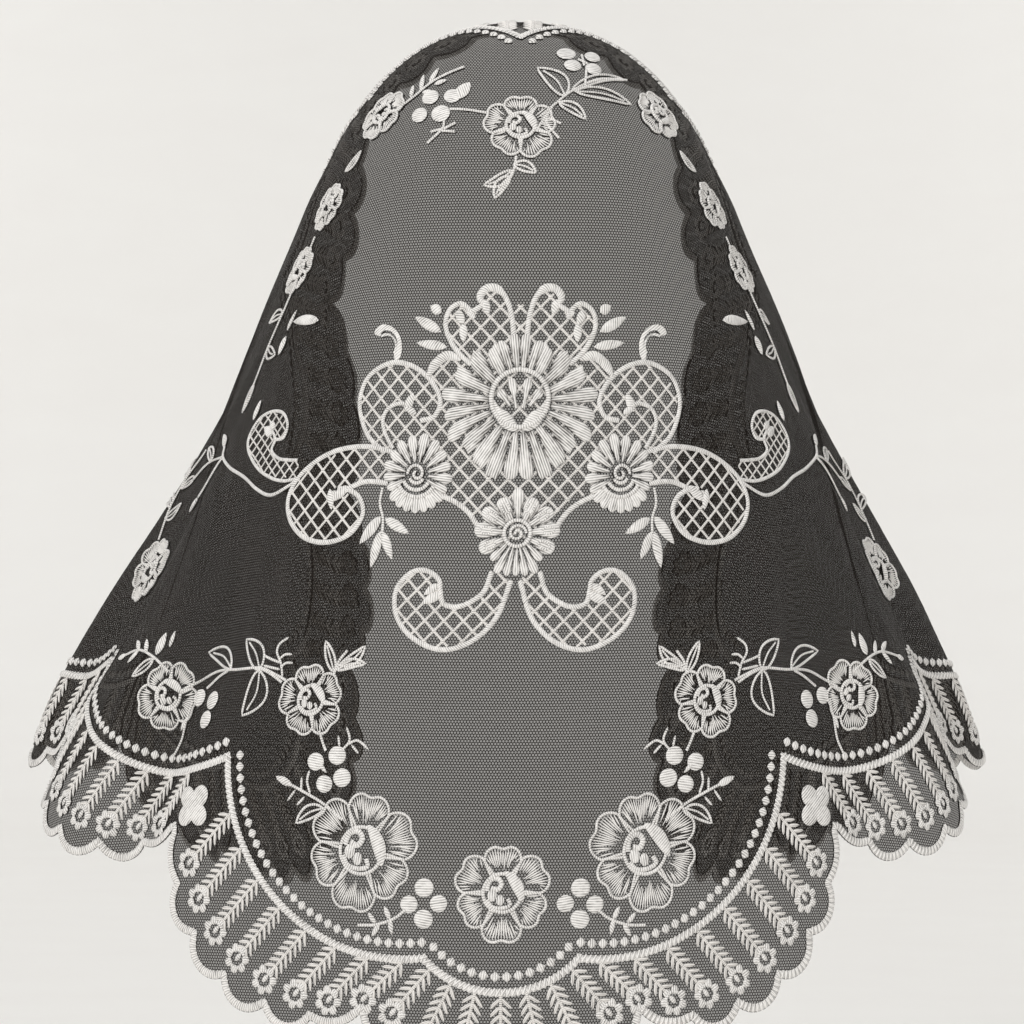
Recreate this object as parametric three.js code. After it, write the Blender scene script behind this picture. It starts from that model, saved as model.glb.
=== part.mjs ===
// A mantilla: a black tulle veil with silver-white embroidery, in the form that it takes when worn.
// Millimetres, +Z up. The origin is the cloth at the top of the crown, the back of the veil faces -Y
// and +X lies to the right of someone who looks at that back.
//
// The veil is drawn flat first, as the maker cuts it: `across` runs to the right and `down` runs down the
// back from the crown. One function, drape(), then lays any flat point over head and shoulders.
import * as THREE from "three";

// Worn form
const DOME_RADIUS = 95;
const BACK_LENGTH = 564;
const HALF_SPAN = 490;
const SHOULDER_HALF_WIDTH = 238;
const BACK_DEPTH = 137;
const FACE_DEPTH = 67;
const CHEST_DEPTH = 109;
const LEAN = 5;
const FOLD_HEIGHT = 11;
const FOLD_START = 300;
const SIDE_LIFT = 0.165;
const SIDE_LIFT_RATE = 1.85;

// Cloth and trims
const CLOTH_THICKNESS = 1;
const TRIM_CLEARANCE = 0.3;
const CORD_WIDTH = 4.3;
const CORD_HEIGHT = 1.6;
const RIB_WIDTH = 4;
const RIB_HEIGHT = 1.6;
const MOTIF_HEIGHT = 1.2;
const SCROLL_WIDTH = 3.6;

// Border
const BORDER_WIDTH = 48;
const SCALLOP_PITCH = 29;
const SCALLOP_DEPTH = 6;
const END_SCALLOP_DEPTH = 2.4;
const FRONT_LOBES_PER_SIDE = 4;
const FRONT_RIB_DROP = 52;
const FRONT_RIB_RISE = 25;

// Facets: the spacing of the net's inner points, of points along the rib, and the room kept round trims
const NET_STEP = 29;
const RIB_STEP = 20;
const POINTS_PER_SCALLOP = 3;
const TRIM_ROOM = 9;
const MOST_TURNS = 5000;

// Level sections of the draped cloth. drop is a share of BACK_LENGTH along the cloth, side of the way
// from the dome to SHOULDER_HALF_WIDTH, back to BACK_DEPTH, face to FACE_DEPTH, chest to CHEST_DEPTH.
// edge is the azimuth in degrees of the front edge, 0 at the middle of the back. lean is a share of LEAN.
const SECTIONS = [
  { drop: 0, side: 0, back: 0, face: 0, chest: 0, edge: 90, lean: 0.8 },
  { drop: 0.089, side: 0, back: 0, face: 0, chest: 0, edge: 96, lean: 0.8 },
  { drop: 0.177, side: 0, back: 0, face: 0.16, chest: 0, edge: 105, lean: 0.8 },
  { drop: 0.222, side: 0.02, back: 0.04, face: 0.43, chest: 0, edge: 108, lean: 0.8 },
  { drop: 0.266, side: 0.08, back: 0.1, face: 0.68, chest: 0, edge: 110, lean: 0.8 },
  { drop: 0.355, side: 0.224, back: 0.19, face: 0.96, chest: 0, edge: 114, lean: 0.8 },
  { drop: 0.443, side: 0.364, back: 0.24, face: 1, chest: 0, edge: 119, lean: 0.7 },
  { drop: 0.532, side: 0.524, back: 0.333, face: 0.75, chest: 0, edge: 125, lean: 0.5 },
  { drop: 0.62, side: 0.706, back: 0.476, face: 0.4, chest: 0, edge: 131, lean: 0.1 },
  { drop: 0.709, side: 0.881, back: 0.667, face: 0.1, chest: 0.1, edge: 136, lean: -0.5 },
  { drop: 0.798, side: 0.986, back: 0.833, face: 0, chest: 0.45, edge: 140, lean: -0.8 },
  { drop: 0.887, side: 1, back: 0.929, face: 0, chest: 0.8, edge: 142, lean: -1 },
  { drop: 0.975, side: 1, back: 0.976, face: 0, chest: 0.93, edge: 143, lean: -1 },
  { drop: 1.152, side: 0.995, back: 1, face: 0, chest: 1, edge: 143, lean: -1 },
];

// Hanging folds. azimuth and halfWidth are degrees in the flat cut, left and right are shares of
// FOLD_HEIGHT on each side of the veil, start and full are shares of FOLD_START down from the crown.
const FOLDS = [
  { azimuth: 0, halfWidth: 5, left: 0.2, right: 0.2, start: 1.3, full: 1.9 },
  { azimuth: 11, halfWidth: 4, left: -0.25, right: -0.2, start: 1.3, full: 1.9 },
  { azimuth: 24.5, halfWidth: 2.6, left: -1, right: -0.6, start: 1.1, full: 1.5 },
  { azimuth: 31, halfWidth: 3.6, left: 0.5, right: 0.35, start: 1.05, full: 1.6 },
  { azimuth: 38.5, halfWidth: 3.4, left: -0.6, right: -0.65, start: 1, full: 1.6 },
  { azimuth: 46, halfWidth: 3.6, left: 0.8, right: 0.75, start: 0.9, full: 1.5 },
  { azimuth: 54, halfWidth: 3.6, left: -0.9, right: -0.85, start: 0.8, full: 1.4 },
  { azimuth: 62, halfWidth: 3.6, left: 1, right: 1, start: 0.8, full: 1.4 },
  { azimuth: 70, halfWidth: 3.6, left: -1, right: -1, start: 0.75, full: 1.4 },
  { azimuth: 78, halfWidth: 3.6, left: 0.9, right: 0.9, start: 0.7, full: 1.4 },
];

// Cusps of the border's rib down one side, from the back to the front. across is a share of HALF_SPAN and
// down of BACK_LENGTH. bulge is the height of the lobe from this cusp to the next as a share of their
// distance, reach the way to the hem's notch as a share of BORDER_WIDTH, and heading that way in degrees,
// 0 straight down and 90 sideways.
const SIDE_CUSPS = [
  { across: 0.073, down: 0.881, bulge: 0.22, reach: 0.84, heading: 50 },
  { across: 0.288, down: 0.723, bulge: 0.23, reach: 0.96, heading: 46 },
  { across: 0.545, down: 0.592, bulge: 0.23, reach: 0.96, heading: 42 },
  { across: 0.739, down: 0.418, bulge: 0.23, reach: 0.94, heading: 56 },
  { across: 0.898, down: 0.23, bulge: 0.45, reach: 0.96, heading: 78 },
];
const CENTRE_BULGE = 0.21;

// Roses, rosettes and clovers: place, radius, number of petals and depth of the notch between petals.
// across is a share of HALF_SPAN and down of BACK_LENGTH; a paired one has a mirror image.
const BLOOMS = [
  { name: "main_bloom", across: 0, down: 0.433, radius: 32, petals: 12, notch: 0.16, paired: false },
  { name: "base_rosette", across: 0, down: 0.54, radius: 17, petals: 7, notch: 0.2, paired: false },
  { name: "side_rosette", across: 0.1, down: 0.489, radius: 14, petals: 7, notch: 0.2, paired: true },
  { name: "crown_rose", across: 0, down: 0.202, radius: 17, petals: 6, notch: 0.2, paired: false },
  { name: "crown_side_rose", across: 0.158, down: 0.167, radius: 15, petals: 6, notch: 0.2, paired: true },
  { name: "garland_rose", across: 0.198, down: 0.677, radius: 16.5, petals: 7, notch: 0.2, paired: true },
  { name: "hem_rose", across: 0.137, down: 0.797, radius: 27, petals: 8, notch: 0.18, paired: true },
  { name: "centre_rose", across: 0, down: 0.829, radius: 21, petals: 7, notch: 0.2, paired: false },
  { name: "shoulder_rose", across: 0.386, down: 0.665, radius: 16, petals: 6, notch: 0.2, paired: true },
  { name: "clover", across: 0.329, down: 0.763, radius: 10.5, petals: 4, notch: 0.35, paired: true },
];

// Lattice scrolls of the medallion, as the frames that hold the lattice.
const SCROLLS = [
  { name: "crest_scroll", across: 0.041, down: 0.346, radius: 12.5 },
  { name: "upper_scroll", across: 0.118, down: 0.429, radius: 17.5 },
  { name: "side_scroll", across: 0.198, down: 0.514, radius: 19 },
  { name: "lower_scroll", across: 0.086, down: 0.602, radius: 15.5 },
];
const SCROLL_SIDES = 10;

const TULLE = new THREE.MeshStandardMaterial({ color: 0x16130f, roughness: 0.85, metalness: 0 });
const SATIN = new THREE.MeshStandardMaterial({ color: 0xd9d6d2, roughness: 0.45, metalness: 0 });

// Smooth curve through one column of SECTIONS.
function sectionValue(column, share) {
  const last = SECTIONS.length - 1;
  let i = 0;
  while (i < last - 1 && share > SECTIONS[i + 1].drop) i += 1;
  const slope = (k) =>
    (SECTIONS[k + 1][column] - SECTIONS[k][column]) / (SECTIONS[k + 1].drop - SECTIONS[k].drop);
  const tangent = (k) => (k === 0 ? slope(0) : k === last ? slope(last - 1) : (slope(k - 1) + slope(k)) / 2);
  const [a, b] = [SECTIONS[i], SECTIONS[i + 1]];
  const span = b.drop - a.drop;
  const t = Math.min((share - a.drop) / span, 1);
  const bend = t * t * (3 - 2 * t);
  const leave = t * (1 - t) * (1 - t) * span * tangent(i);
  const arrive = t * t * (t - 1) * span * tangent(i + 1);
  return a[column] * (1 - bend) + b[column] * bend + leave + arrive;
}

// The veil's level section at a distance down the back of the cloth.
function levelAt(drop) {
  const share = drop / BACK_LENGTH;
  const dome = DOME_RADIUS * Math.sin(Math.min(drop / DOME_RADIUS, Math.PI / 2));
  const value = (column) => sectionValue(column, share);
  return {
    side: dome + (SHOULDER_HALF_WIDTH - DOME_RADIUS) * value("side"),
    back: dome + (BACK_DEPTH - DOME_RADIUS) * value("back"),
    front: dome + (FACE_DEPTH - DOME_RADIUS) * value("face") + (CHEST_DEPTH - DOME_RADIUS) * value("chest"),
    edge: THREE.MathUtils.degToRad(value("edge")),
    lean: LEAN * value("lean"),
  };
}

// Levels at even steps of cloth, each with its height: the back line is as long as the cloth on it.
const LEVEL_STEP = 2.5;
const LEVELS = [];
for (let drop = 0, height = 0; drop < 1.15 * BACK_LENGTH; drop += LEVEL_STEP) {
  const level = levelAt(drop);
  if (drop > 0) {
    const out = level.back - LEVELS[LEVELS.length - 1].back;
    height -= Math.sqrt(Math.max(LEVEL_STEP * LEVEL_STEP - out * out, 0));
  }
  LEVELS.push({ ...level, height });
}

function levelBetween(drop) {
  const at = Math.min(drop / LEVEL_STEP, LEVELS.length - 1.001);
  const [a, b] = [LEVELS[Math.floor(at)], LEVELS[Math.floor(at) + 1]];
  return Object.fromEntries(Object.keys(a).map((k) => [k, THREE.MathUtils.lerp(a[k], b[k], at % 1)]));
}

// Points round half a level section, from the middle of the back to the middle of the front.
const ROUND_STEPS = 72;
function halfSection(level) {
  const points = [];
  let length = 0;
  let edgeLength = 0;
  for (let k = 0; k <= ROUND_STEPS; k += 1) {
    const azimuth = (Math.PI * k) / ROUND_STEPS;
    const depth = azimuth < Math.PI / 2 ? level.back : level.front;
    const reach = 1 / Math.hypot(Math.sin(azimuth) / level.side, Math.cos(azimuth) / depth);
    const point = { x: reach * Math.sin(azimuth), y: -reach * Math.cos(azimuth) };
    if (k > 0) {
      const before = points[k - 1];
      const piece = Math.hypot(point.x - before.x, point.y - before.y);
      const part = THREE.MathUtils.clamp((level.edge * ROUND_STEPS) / Math.PI - (k - 1), 0, 1);
      edgeLength += piece * part;
      length += piece;
    }
    points.push({ ...point, length });
  }
  return { points, length, edgeLength };
}

function pointAlong({ points }, length) {
  let k = 1;
  while (k < points.length - 1 && points[k].length < length) k += 1;
  const [a, b] = [points[k - 1], points[k]];
  const t = THREE.MathUtils.clamp((length - a.length) / (b.length - a.length), 0, 1);
  return { x: THREE.MathUtils.lerp(a.x, b.x, t), y: THREE.MathUtils.lerp(a.y, b.y, t) };
}

// Distance round the section of a flat point: true to the cut at the back, gathered towards the front.
function lengthRound(radius, turn, section) {
  const flat = (radius * Math.PI) / 2;
  const gather = section.edgeLength - flat;
  if (turn <= 1) return flat * turn + (gather * turn * turn * (3 - turn)) / 2;
  const rest = Math.max(section.length - section.edgeLength, 1e-6);
  const rate = (flat + 1.5 * gather) / rest;
  const beyond = Math.min(turn - 1, 1);
  return section.edgeLength + rest * (rate * beyond + (1 - rate) * beyond ** 3);
}

function smoothCloth(across, down) {
  const radius = Math.hypot(across, down);
  const azimuth = Math.atan2(Math.abs(across), down);
  const lift = SIDE_LIFT * Math.sin(Math.min(SIDE_LIFT_RATE * azimuth, Math.PI)) ** 2;
  const level = levelBetween(radius * (1 - lift));
  if (radius < 1e-6) return new THREE.Vector3(level.lean, 0, 0);
  const section = halfSection(level);
  const { x, y } = pointAlong(section, lengthRound(radius, (2 * azimuth) / Math.PI, section));
  return new THREE.Vector3(level.lean + (across < 0 ? -x : x), y, level.height);
}

function foldHeight(across, down) {
  const radius = Math.hypot(across, down);
  const azimuth = THREE.MathUtils.radToDeg(Math.atan2(Math.abs(across), down));
  const side = across < 0 ? "left" : "right";
  return FOLDS.reduce((sum, fold) => {
    const grown = THREE.MathUtils.smoothstep(radius / FOLD_START, fold.start, fold.full);
    const away = (azimuth - fold.azimuth) / fold.halfWidth;
    return sum + FOLD_HEIGHT * fold[side] * grown * Math.exp(-away * away);
  }, 0);
}

function outward(surface, across, down) {
  const reach = 0.5;
  const right = surface(across + reach, down).sub(surface(across - reach, down));
  const below = surface(across, down + reach).sub(surface(across, down - reach));
  return below.cross(right).normalize();
}

function drape(across, down) {
  const point = smoothCloth(across, down);
  const height = foldHeight(across, down);
  if (Math.abs(height) < 1e-3) return point;
  return point.addScaledVector(outward(smoothCloth, across, down), height);
}

// Points of an arc from a to b, without b. A positive bulge swells to the outer side of a path that runs
// from the back over the right side to the front.
function arcPoints(a, b, bulge, pieces) {
  const chord = Math.hypot(b.u - a.u, b.v - a.v);
  const outside = { u: -(b.v - a.v) / chord, v: (b.u - a.u) / chord };
  const radius = (chord * chord) / (8 * bulge) + bulge / 2;
  const half = Math.asin(Math.min(chord / (2 * radius), 1));
  const full = bulge > chord / 2 ? Math.PI - half : half;
  return Array.from({ length: pieces }, (_, k) => {
    const angle = full * ((2 * k) / pieces - 1);
    const along = 0.5 + (radius * Math.sin(angle)) / chord;
    const out = bulge - radius * (1 - Math.cos(angle));
    return {
      u: a.u + (b.u - a.u) * along + outside.u * out,
      v: a.v + (b.v - a.v) * along + outside.v * out,
    };
  });
}

const arcLength = (a, b, bulge) => {
  const chord = Math.hypot(b.u - a.u, b.v - a.v);
  return chord * (1 + (8 / 3) * (bulge / chord) ** 2);
};

// The border's corners on the right side: where rib lobes meet and where hem lobes meet.
const frontWidth = (HALF_SPAN * 0.776) / FRONT_LOBES_PER_SIDE;
const sideCorners = SIDE_CUSPS.map((cusp) => {
  const rib = { u: cusp.across * HALF_SPAN, v: cusp.down * BACK_LENGTH };
  const heading = THREE.MathUtils.degToRad(cusp.heading);
  const reach = cusp.reach * BORDER_WIDTH;
  const hem = { u: rib.u + reach * Math.sin(heading), v: rib.v + reach * Math.cos(heading) };
  return { rib, hem, bulge: cusp.bulge };
});
const frontCorners = Array.from({ length: FRONT_LOBES_PER_SIDE + 1 }, (_, k) => {
  const u = frontWidth * (FRONT_LOBES_PER_SIDE - k);
  const v = FRONT_RIB_DROP;
  return { rib: { u, v }, hem: { u, v: v - 1.25 * BORDER_WIDTH }, bulge: FRONT_RIB_RISE / frontWidth };
});
const mirrorPoint = (p) => ({ u: -p.u, v: p.v });
const rightCorners = [...sideCorners, ...frontCorners];
const leftCorners = rightCorners.slice(0, -1).reverse().map((corner, k, list) => ({
  rib: mirrorPoint(corner.rib),
  hem: mirrorPoint(corner.hem),
  bulge: k === list.length - 1 ? CENTRE_BULGE : list[k + 1].bulge,
}));
leftCorners.unshift({ ...rightCorners.at(-1), bulge: frontCorners[0].bulge });
const CORNERS = [...rightCorners.slice(0, -1), ...leftCorners];

// One closed line round the veil through the rib's cusps or the hem's notches.
function borderLine(kind, piecesOf) {
  return CORNERS.flatMap((corner, k) => {
    const next = CORNERS[(k + 1) % CORNERS.length];
    const [a, b] = [corner[kind], next[kind]];
    const ribRise = corner.bulge * Math.hypot(next.rib.u - corner.rib.u, next.rib.v - corner.rib.v);
    return piecesOf(a, b, kind === "rib" ? ribRise : hemRise(corner, next, ribRise));
  });
}

// Height of a hem lobe: it stays BORDER_WIDTH outside the top of the rib's lobe.
function hemRise(corner, next, ribRise) {
  const middle = (kind) => ({
    u: (corner[kind].u + next[kind].u) / 2,
    v: (corner[kind].v + next[kind].v) / 2,
  });
  const [rib, hem] = [middle("rib"), middle("hem")];
  const chord = Math.hypot(next.hem.u - corner.hem.u, next.hem.v - corner.hem.v);
  const outside = { u: -(next.hem.v - corner.hem.v) / chord, v: (next.hem.u - corner.hem.u) / chord };
  const between = (hem.u - rib.u) * outside.u + (hem.v - rib.v) * outside.v;
  return ribRise + BORDER_WIDTH - between;
}

const ribLine = borderLine("rib", (a, b, rise) =>
  arcPoints(a, b, rise, Math.max(2, Math.round(arcLength(a, b, rise) / RIB_STEP))),
);

// The hem lobes carry small scallops with sharp notches between them, shallow ones at a lobe's ends.
const hemLine = borderLine("hem", (a, b, rise) => {
  const count = Math.max(2, Math.round(arcLength(a, b, rise) / SCALLOP_PITCH));
  const notches = [...arcPoints(a, b, rise, count), b];
  return notches
    .slice(0, -1)
    .flatMap((notch, k) => {
      const depth = k === 0 || k === count - 1 ? END_SCALLOP_DEPTH : SCALLOP_DEPTH;
      return arcPoints(notch, notches[k + 1], depth, POINTS_PER_SCALLOP);
    });
});

// The line moved to its inner side, or to its outer side by a negative distance.
function insetLine(line, distance) {
  return line.map((point, k) => {
    const before = line[(k + line.length - 1) % line.length];
    const after = line[(k + 1) % line.length];
    const normal = (a, b) => {
      const length = Math.hypot(b.u - a.u, b.v - a.v);
      return { u: (b.v - a.v) / length, v: -(b.u - a.u) / length };
    };
    const [n, m] = [normal(before, point), normal(point, after)];
    const share = Math.max(1 + n.u * m.u + n.v * m.v, 0.6);
    return {
      u: point.u + (distance * (n.u + m.u)) / share,
      v: point.v + (distance * (n.v + m.v)) / share,
    };
  });
}

// A round figure with petals. Each petal has two points and a notch before it.
function bloomLine({ across, down, radius, petals, notch }, side) {
  const pitch = (2 * Math.PI) / petals;
  return Array.from({ length: petals }, (_, k) => [
    { turn: k, reach: 1 - notch },
    { turn: k + 0.28, reach: 1 },
    { turn: k + 0.72, reach: 1 },
  ])
    .flat()
    .map(({ turn, reach }) => ({
      u: side * across * HALF_SPAN - radius * reach * Math.sin(pitch * turn),
      v: down * BACK_LENGTH - radius * reach * Math.cos(pitch * turn),
    }));
}

function ringLine({ across, down }, radius, side) {
  return Array.from({ length: SCROLL_SIDES }, (_, k) => {
    const angle = (2 * Math.PI * k) / SCROLL_SIDES;
    return {
      u: side * across * HALF_SPAN - radius * Math.sin(angle),
      v: down * BACK_LENGTH - radius * Math.cos(angle),
    };
  });
}

// Every trim is a region of the flat cut between an outer line and, where it is open, an inner line.
const trims = [
  { name: "hem_cord", height: CORD_HEIGHT, outer: hemLine, inner: insetLine(hemLine, CORD_WIDTH) },
  {
    name: "border_rib",
    height: RIB_HEIGHT,
    outer: insetLine(ribLine, -RIB_WIDTH / 2),
    inner: insetLine(ribLine, RIB_WIDTH / 2),
  },
];
const SIDES = [
  { suffix: "_left", sign: -1 },
  { suffix: "_right", sign: 1 },
];
for (const bloom of BLOOMS) {
  for (const { suffix, sign } of bloom.paired ? SIDES : [{ suffix: "", sign: 1 }]) {
    trims.push({ name: bloom.name + suffix, height: MOTIF_HEIGHT, outer: bloomLine(bloom, sign) });
  }
}
for (const scroll of SCROLLS) {
  for (const { suffix, sign } of SIDES) {
    trims.push({
      name: scroll.name + suffix,
      height: MOTIF_HEIGHT,
      outer: ringLine(scroll, scroll.radius, sign),
      inner: ringLine(scroll, scroll.radius - SCROLL_WIDTH, sign),
    });
  }
}

function isInside(point, line) {
  return line.reduce((inside, a, k) => {
    const b = line[(k + 1) % line.length];
    const crosses = a.v > point.v !== b.v > point.v;
    return crosses && point.u < a.u + ((point.v - a.v) * (b.u - a.u)) / (b.v - a.v) ? !inside : inside;
  }, false);
}

function distanceTo(point, line) {
  return Math.min(
    ...line.map((a, k) => {
      const b = line[(k + 1) % line.length];
      const [du, dv] = [b.u - a.u, b.v - a.v];
      const along = ((point.u - a.u) * du + (point.v - a.v) * dv) / (du * du + dv * dv);
      const t = THREE.MathUtils.clamp(along, 0, 1);
      return Math.hypot(point.u - a.u - t * du, point.v - a.v - t * dv);
    }),
  );
}

// The flat cut as triangles, by adding one point after another to a Delaunay net.
class FlatNet {
  constructor(size) {
    this.points = [];
    this.triangles = [];
    const corners = [-2, 2, 0].map((k, i) => this.place(k * 4 * size, i < 2 ? -3 * size : 6 * size));
    this.triangles.push(this.triangle(...corners));
    this.frame = corners.length;
  }

  // A hair's shift keeps four points from lying on one circle.
  place(u, v) {
    const hair = 1e-4;
    const k = this.points.length;
    this.points.push({ u, v, su: u + hair * Math.sin(12.9 * k + 1), sv: v + hair * Math.sin(78.2 * k + 2) });
    return k;
  }

  triangle(a, b, c) {
    const [p, q, r] = [a, b, c].map((k) => this.points[k]);
    const [bu, bv, cu, cv] = [q.su - p.su, q.sv - p.sv, r.su - p.su, r.sv - p.sv];
    const twice = 2 * (bu * cv - bv * cu);
    const [bb, cc] = [bu * bu + bv * bv, cu * cu + cv * cv];
    const u = (cv * bb - bv * cc) / twice;
    const v = (bu * cc - cu * bb) / twice;
    const corners = twice > 0 ? [a, b, c] : [a, c, b];
    return { corners, u: p.su + u, v: p.sv + v, reach: u * u + v * v };
  }

  add(point) {
    const k = this.place(point.u, point.v);
    const { su, sv } = this.points[k];
    const rim = new Map();
    this.triangles = this.triangles.filter((t) => {
      if ((t.u - su) ** 2 + (t.v - sv) ** 2 > t.reach) return true;
      t.corners.forEach((a, i) => {
        const b = t.corners[(i + 1) % 3];
        if (!rim.delete(b + " " + a)) rim.set(a + " " + b, [a, b]);
      });
      return false;
    });
    rim.forEach(([a, b]) => this.triangles.push(this.triangle(a, b, k)));
    return k;
  }

  // Turns diagonals over until every held line is an edge of the net.
  holdLines(lines) {
    const opposite = new Map();
    const join = (a, b, c) =>
      [[a, b, c], [b, c, a], [c, a, b]].forEach(([p, q, r]) => opposite.set(p + " " + q, { p, q, r }));
    this.triangles.forEach(({ corners }) => join(...corners));
    for (const [a, b] of lines) {
      if (opposite.has(a + " " + b)) continue;
      const isCut = (p, q) => this.isCrossed(a, b, p, q);
      const cut = [...opposite.values()].filter(({ p, q }) => p < q && isCut(p, q));
      for (let turns = 0; cut.length; turns += 1) {
        if (turns > MOST_TURNS) throw new Error("two outlines of the flat cut cross");
        const { p, q } = cut.shift();
        const r = opposite.get(p + " " + q).r;
        const s = opposite.get(q + " " + p).r;
        if (!this.isCrossed(p, q, r, s)) {
          cut.push({ p, q });
          continue;
        }
        opposite.delete(p + " " + q);
        opposite.delete(q + " " + p);
        join(p, s, r);
        join(s, q, r);
        if (isCut(r, s)) cut.push({ p: r, q: s });
      }
    }
    this.triangles = [...opposite.values()]
      .filter(({ p, q, r }) => p < q && p < r)
      .map(({ p, q, r }) => ({ corners: [p, q, r] }));
  }

  isCrossed(a, b, p, q) {
    const side = (i, j, k) => {
      const [s, t, w] = [i, j, k].map((n) => this.points[n]);
      return (t.u - s.u) * (w.v - s.v) - (t.v - s.v) * (w.u - s.u);
    };
    return side(a, b, p) * side(a, b, q) < 0 && side(p, q, a) * side(p, q, b) < 0;
  }

  // Triangles whose middle lies in the region.
  within(outer, inner) {
    return this.triangles
      .map((t) => t.corners)
      .filter((corners) => {
        if (corners.some((k) => k < this.frame)) return false;
        const [a, b, c] = corners.map((k) => this.points[k]);
        const middle = { u: (a.u + b.u + c.u) / 3, v: (a.v + b.v + c.v) / 3 };
        return isInside(middle, outer) && !(inner && isInside(middle, inner));
      });
  }
}

const flat = new FlatNet(Math.max(HALF_SPAN, BACK_LENGTH));
const trimLines = trims.flatMap((trim) => (trim.inner ? [trim.outer, trim.inner] : [trim.outer]));
const heldLines = trimLines.flatMap((line) => {
  const places = line.map((point) => flat.add(point));
  return places.map((a, k) => [a, places[(k + 1) % places.length]]);
});
const ROW_STEP = NET_STEP * Math.sin(Math.PI / 3);
for (let row = 0; row * ROW_STEP < 1.2 * BACK_LENGTH; row += 1) {
  const columns = Math.ceil((1.1 * HALF_SPAN) / NET_STEP);
  for (let column = -columns; column <= columns; column += 1) {
    const point = { u: (column + (row % 2) / 2) * NET_STEP, v: row * ROW_STEP - BORDER_WIDTH };
    const isFree = isInside(point, hemLine) && trimLines.every((line) => distanceTo(point, line) > TRIM_ROOM);
    if (isFree) flat.add(point);
  }
}
flat.holdLines(heldLines);

const draped = flat.points.map(({ u, v }, k) => {
  if (k < flat.frame) return null;
  return { point: drape(u, v), normal: outward(drape, u, v) };
});

// A closed sheet over some triangles of the cut, from one height over the cloth's middle to another.
function sheetGeometry(triangles, bottom, top) {
  const layer = (k, height) => draped[k].point.clone().addScaledVector(draped[k].normal, height);
  const faces = [];
  const rim = new Map();
  for (const corners of triangles) {
    const [a, b, c] = corners;
    faces.push(layer(a, top), layer(c, top), layer(b, top));
    faces.push(layer(a, bottom), layer(b, bottom), layer(c, bottom));
    [[a, b], [b, c], [c, a]].forEach(([p, q]) => {
      if (!rim.delete(q + " " + p)) rim.set(p + " " + q, [p, q]);
    });
  }
  rim.forEach(([a, b]) => {
    faces.push(layer(a, top), layer(b, top), layer(b, bottom));
    faces.push(layer(a, top), layer(b, bottom), layer(a, bottom));
  });
  const geometry = new THREE.BufferGeometry().setFromPoints(faces);
  geometry.computeVertexNormals();
  return geometry;
}

function addPiece(veil, name, geometry, material) {
  const mesh = new THREE.Mesh(geometry, material);
  mesh.name = name;
  veil.add(mesh);
}

const veil = new THREE.Group();
const half = CLOTH_THICKNESS / 2;
addPiece(veil, "veil_net", sheetGeometry(flat.within(hemLine), -half, half), TULLE);
for (const { name, height, outer, inner } of trims) {
  const seat = half + TRIM_CLEARANCE;
  addPiece(veil, name, sheetGeometry(flat.within(outer, inner), seat, seat + height), SATIN);
}

export default veil;
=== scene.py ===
# %% [markdown]
# # A mantilla veil of black tulle with silver-white embroidery
# The veil is one flat piece of net with a scalloped outline. A machine embroiders it flat, and only then is
# it worn. This script works in the same order: each motif is drawn on a flat drawing board in millimetres,
# and one function lays the finished motif on the draped cloth. Stitches so keep their true size, and they
# bend with every fold, which modelling them on the curved veil would make much harder.

# %% The frame and the libraries
import math

import bmesh
import bpy
import numpy as np
from mathutils.geometry import delaunay_2d_cdt
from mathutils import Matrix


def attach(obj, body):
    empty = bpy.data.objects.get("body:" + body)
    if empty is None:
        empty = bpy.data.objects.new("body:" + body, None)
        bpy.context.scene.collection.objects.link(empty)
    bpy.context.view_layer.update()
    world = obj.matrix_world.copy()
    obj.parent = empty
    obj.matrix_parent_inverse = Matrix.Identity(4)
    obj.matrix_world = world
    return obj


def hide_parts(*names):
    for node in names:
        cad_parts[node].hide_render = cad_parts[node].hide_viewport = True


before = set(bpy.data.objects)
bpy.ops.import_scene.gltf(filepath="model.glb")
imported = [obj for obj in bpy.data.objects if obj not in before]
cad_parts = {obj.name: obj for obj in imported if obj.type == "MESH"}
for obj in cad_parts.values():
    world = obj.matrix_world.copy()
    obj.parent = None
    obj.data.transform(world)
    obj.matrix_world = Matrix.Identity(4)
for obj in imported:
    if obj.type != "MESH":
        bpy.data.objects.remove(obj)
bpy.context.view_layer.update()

MM = 0.001


# %% One function that puts a thing in the scene
def stand(name, data):
    """A new object that shows the data, in the scene."""
    made = bpy.data.objects.new(name, data)
    bpy.context.collection.objects.link(made)
    return made


# %% [markdown]
# ## Camera, light and background
# The photograph is taken level, from behind, at about the middle of the veil's height. A long lens keeps the
# shape calm. The light is broad and soft, as in a catalogue picture. The background is a pale grey paper
# sweep, a little darker than white, so that silver thread stands out where the net lets the paper show.

# %% Camera
CAMERA_DISTANCE = 1.6
CAMERA_HEIGHT = -0.239
LENS_MM = 114.8
SENSOR_MM = 36

camera = stand("camera", bpy.data.cameras.new("camera"))
camera.location = (0, -CAMERA_DISTANCE, CAMERA_HEIGHT)
camera.rotation_euler = (math.pi / 2, 0, 0)
camera.data.sensor_width = SENSOR_MM
camera.data.lens = LENS_MM
bpy.context.scene.camera = camera
bpy.context.scene.view_settings.view_transform = "Standard"
print("The camera stands", CAMERA_DISTANCE, "m behind the veil")


# %% Functions for nodes, colours and finishes
def add(tree, kind, inputs=None, **settings):
    """Adds a node. inputs maps a socket's name or number to a value or to the output that feeds it."""
    made = tree.nodes.new(kind)
    for name, value in settings.items():
        setattr(made, name, value)
    for key, value in (inputs or {}).items():
        if isinstance(value, bpy.types.NodeSocket):
            tree.links.new(value, made.inputs[key])
        else:
            made.inputs[key].default_value = value
    return made


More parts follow.
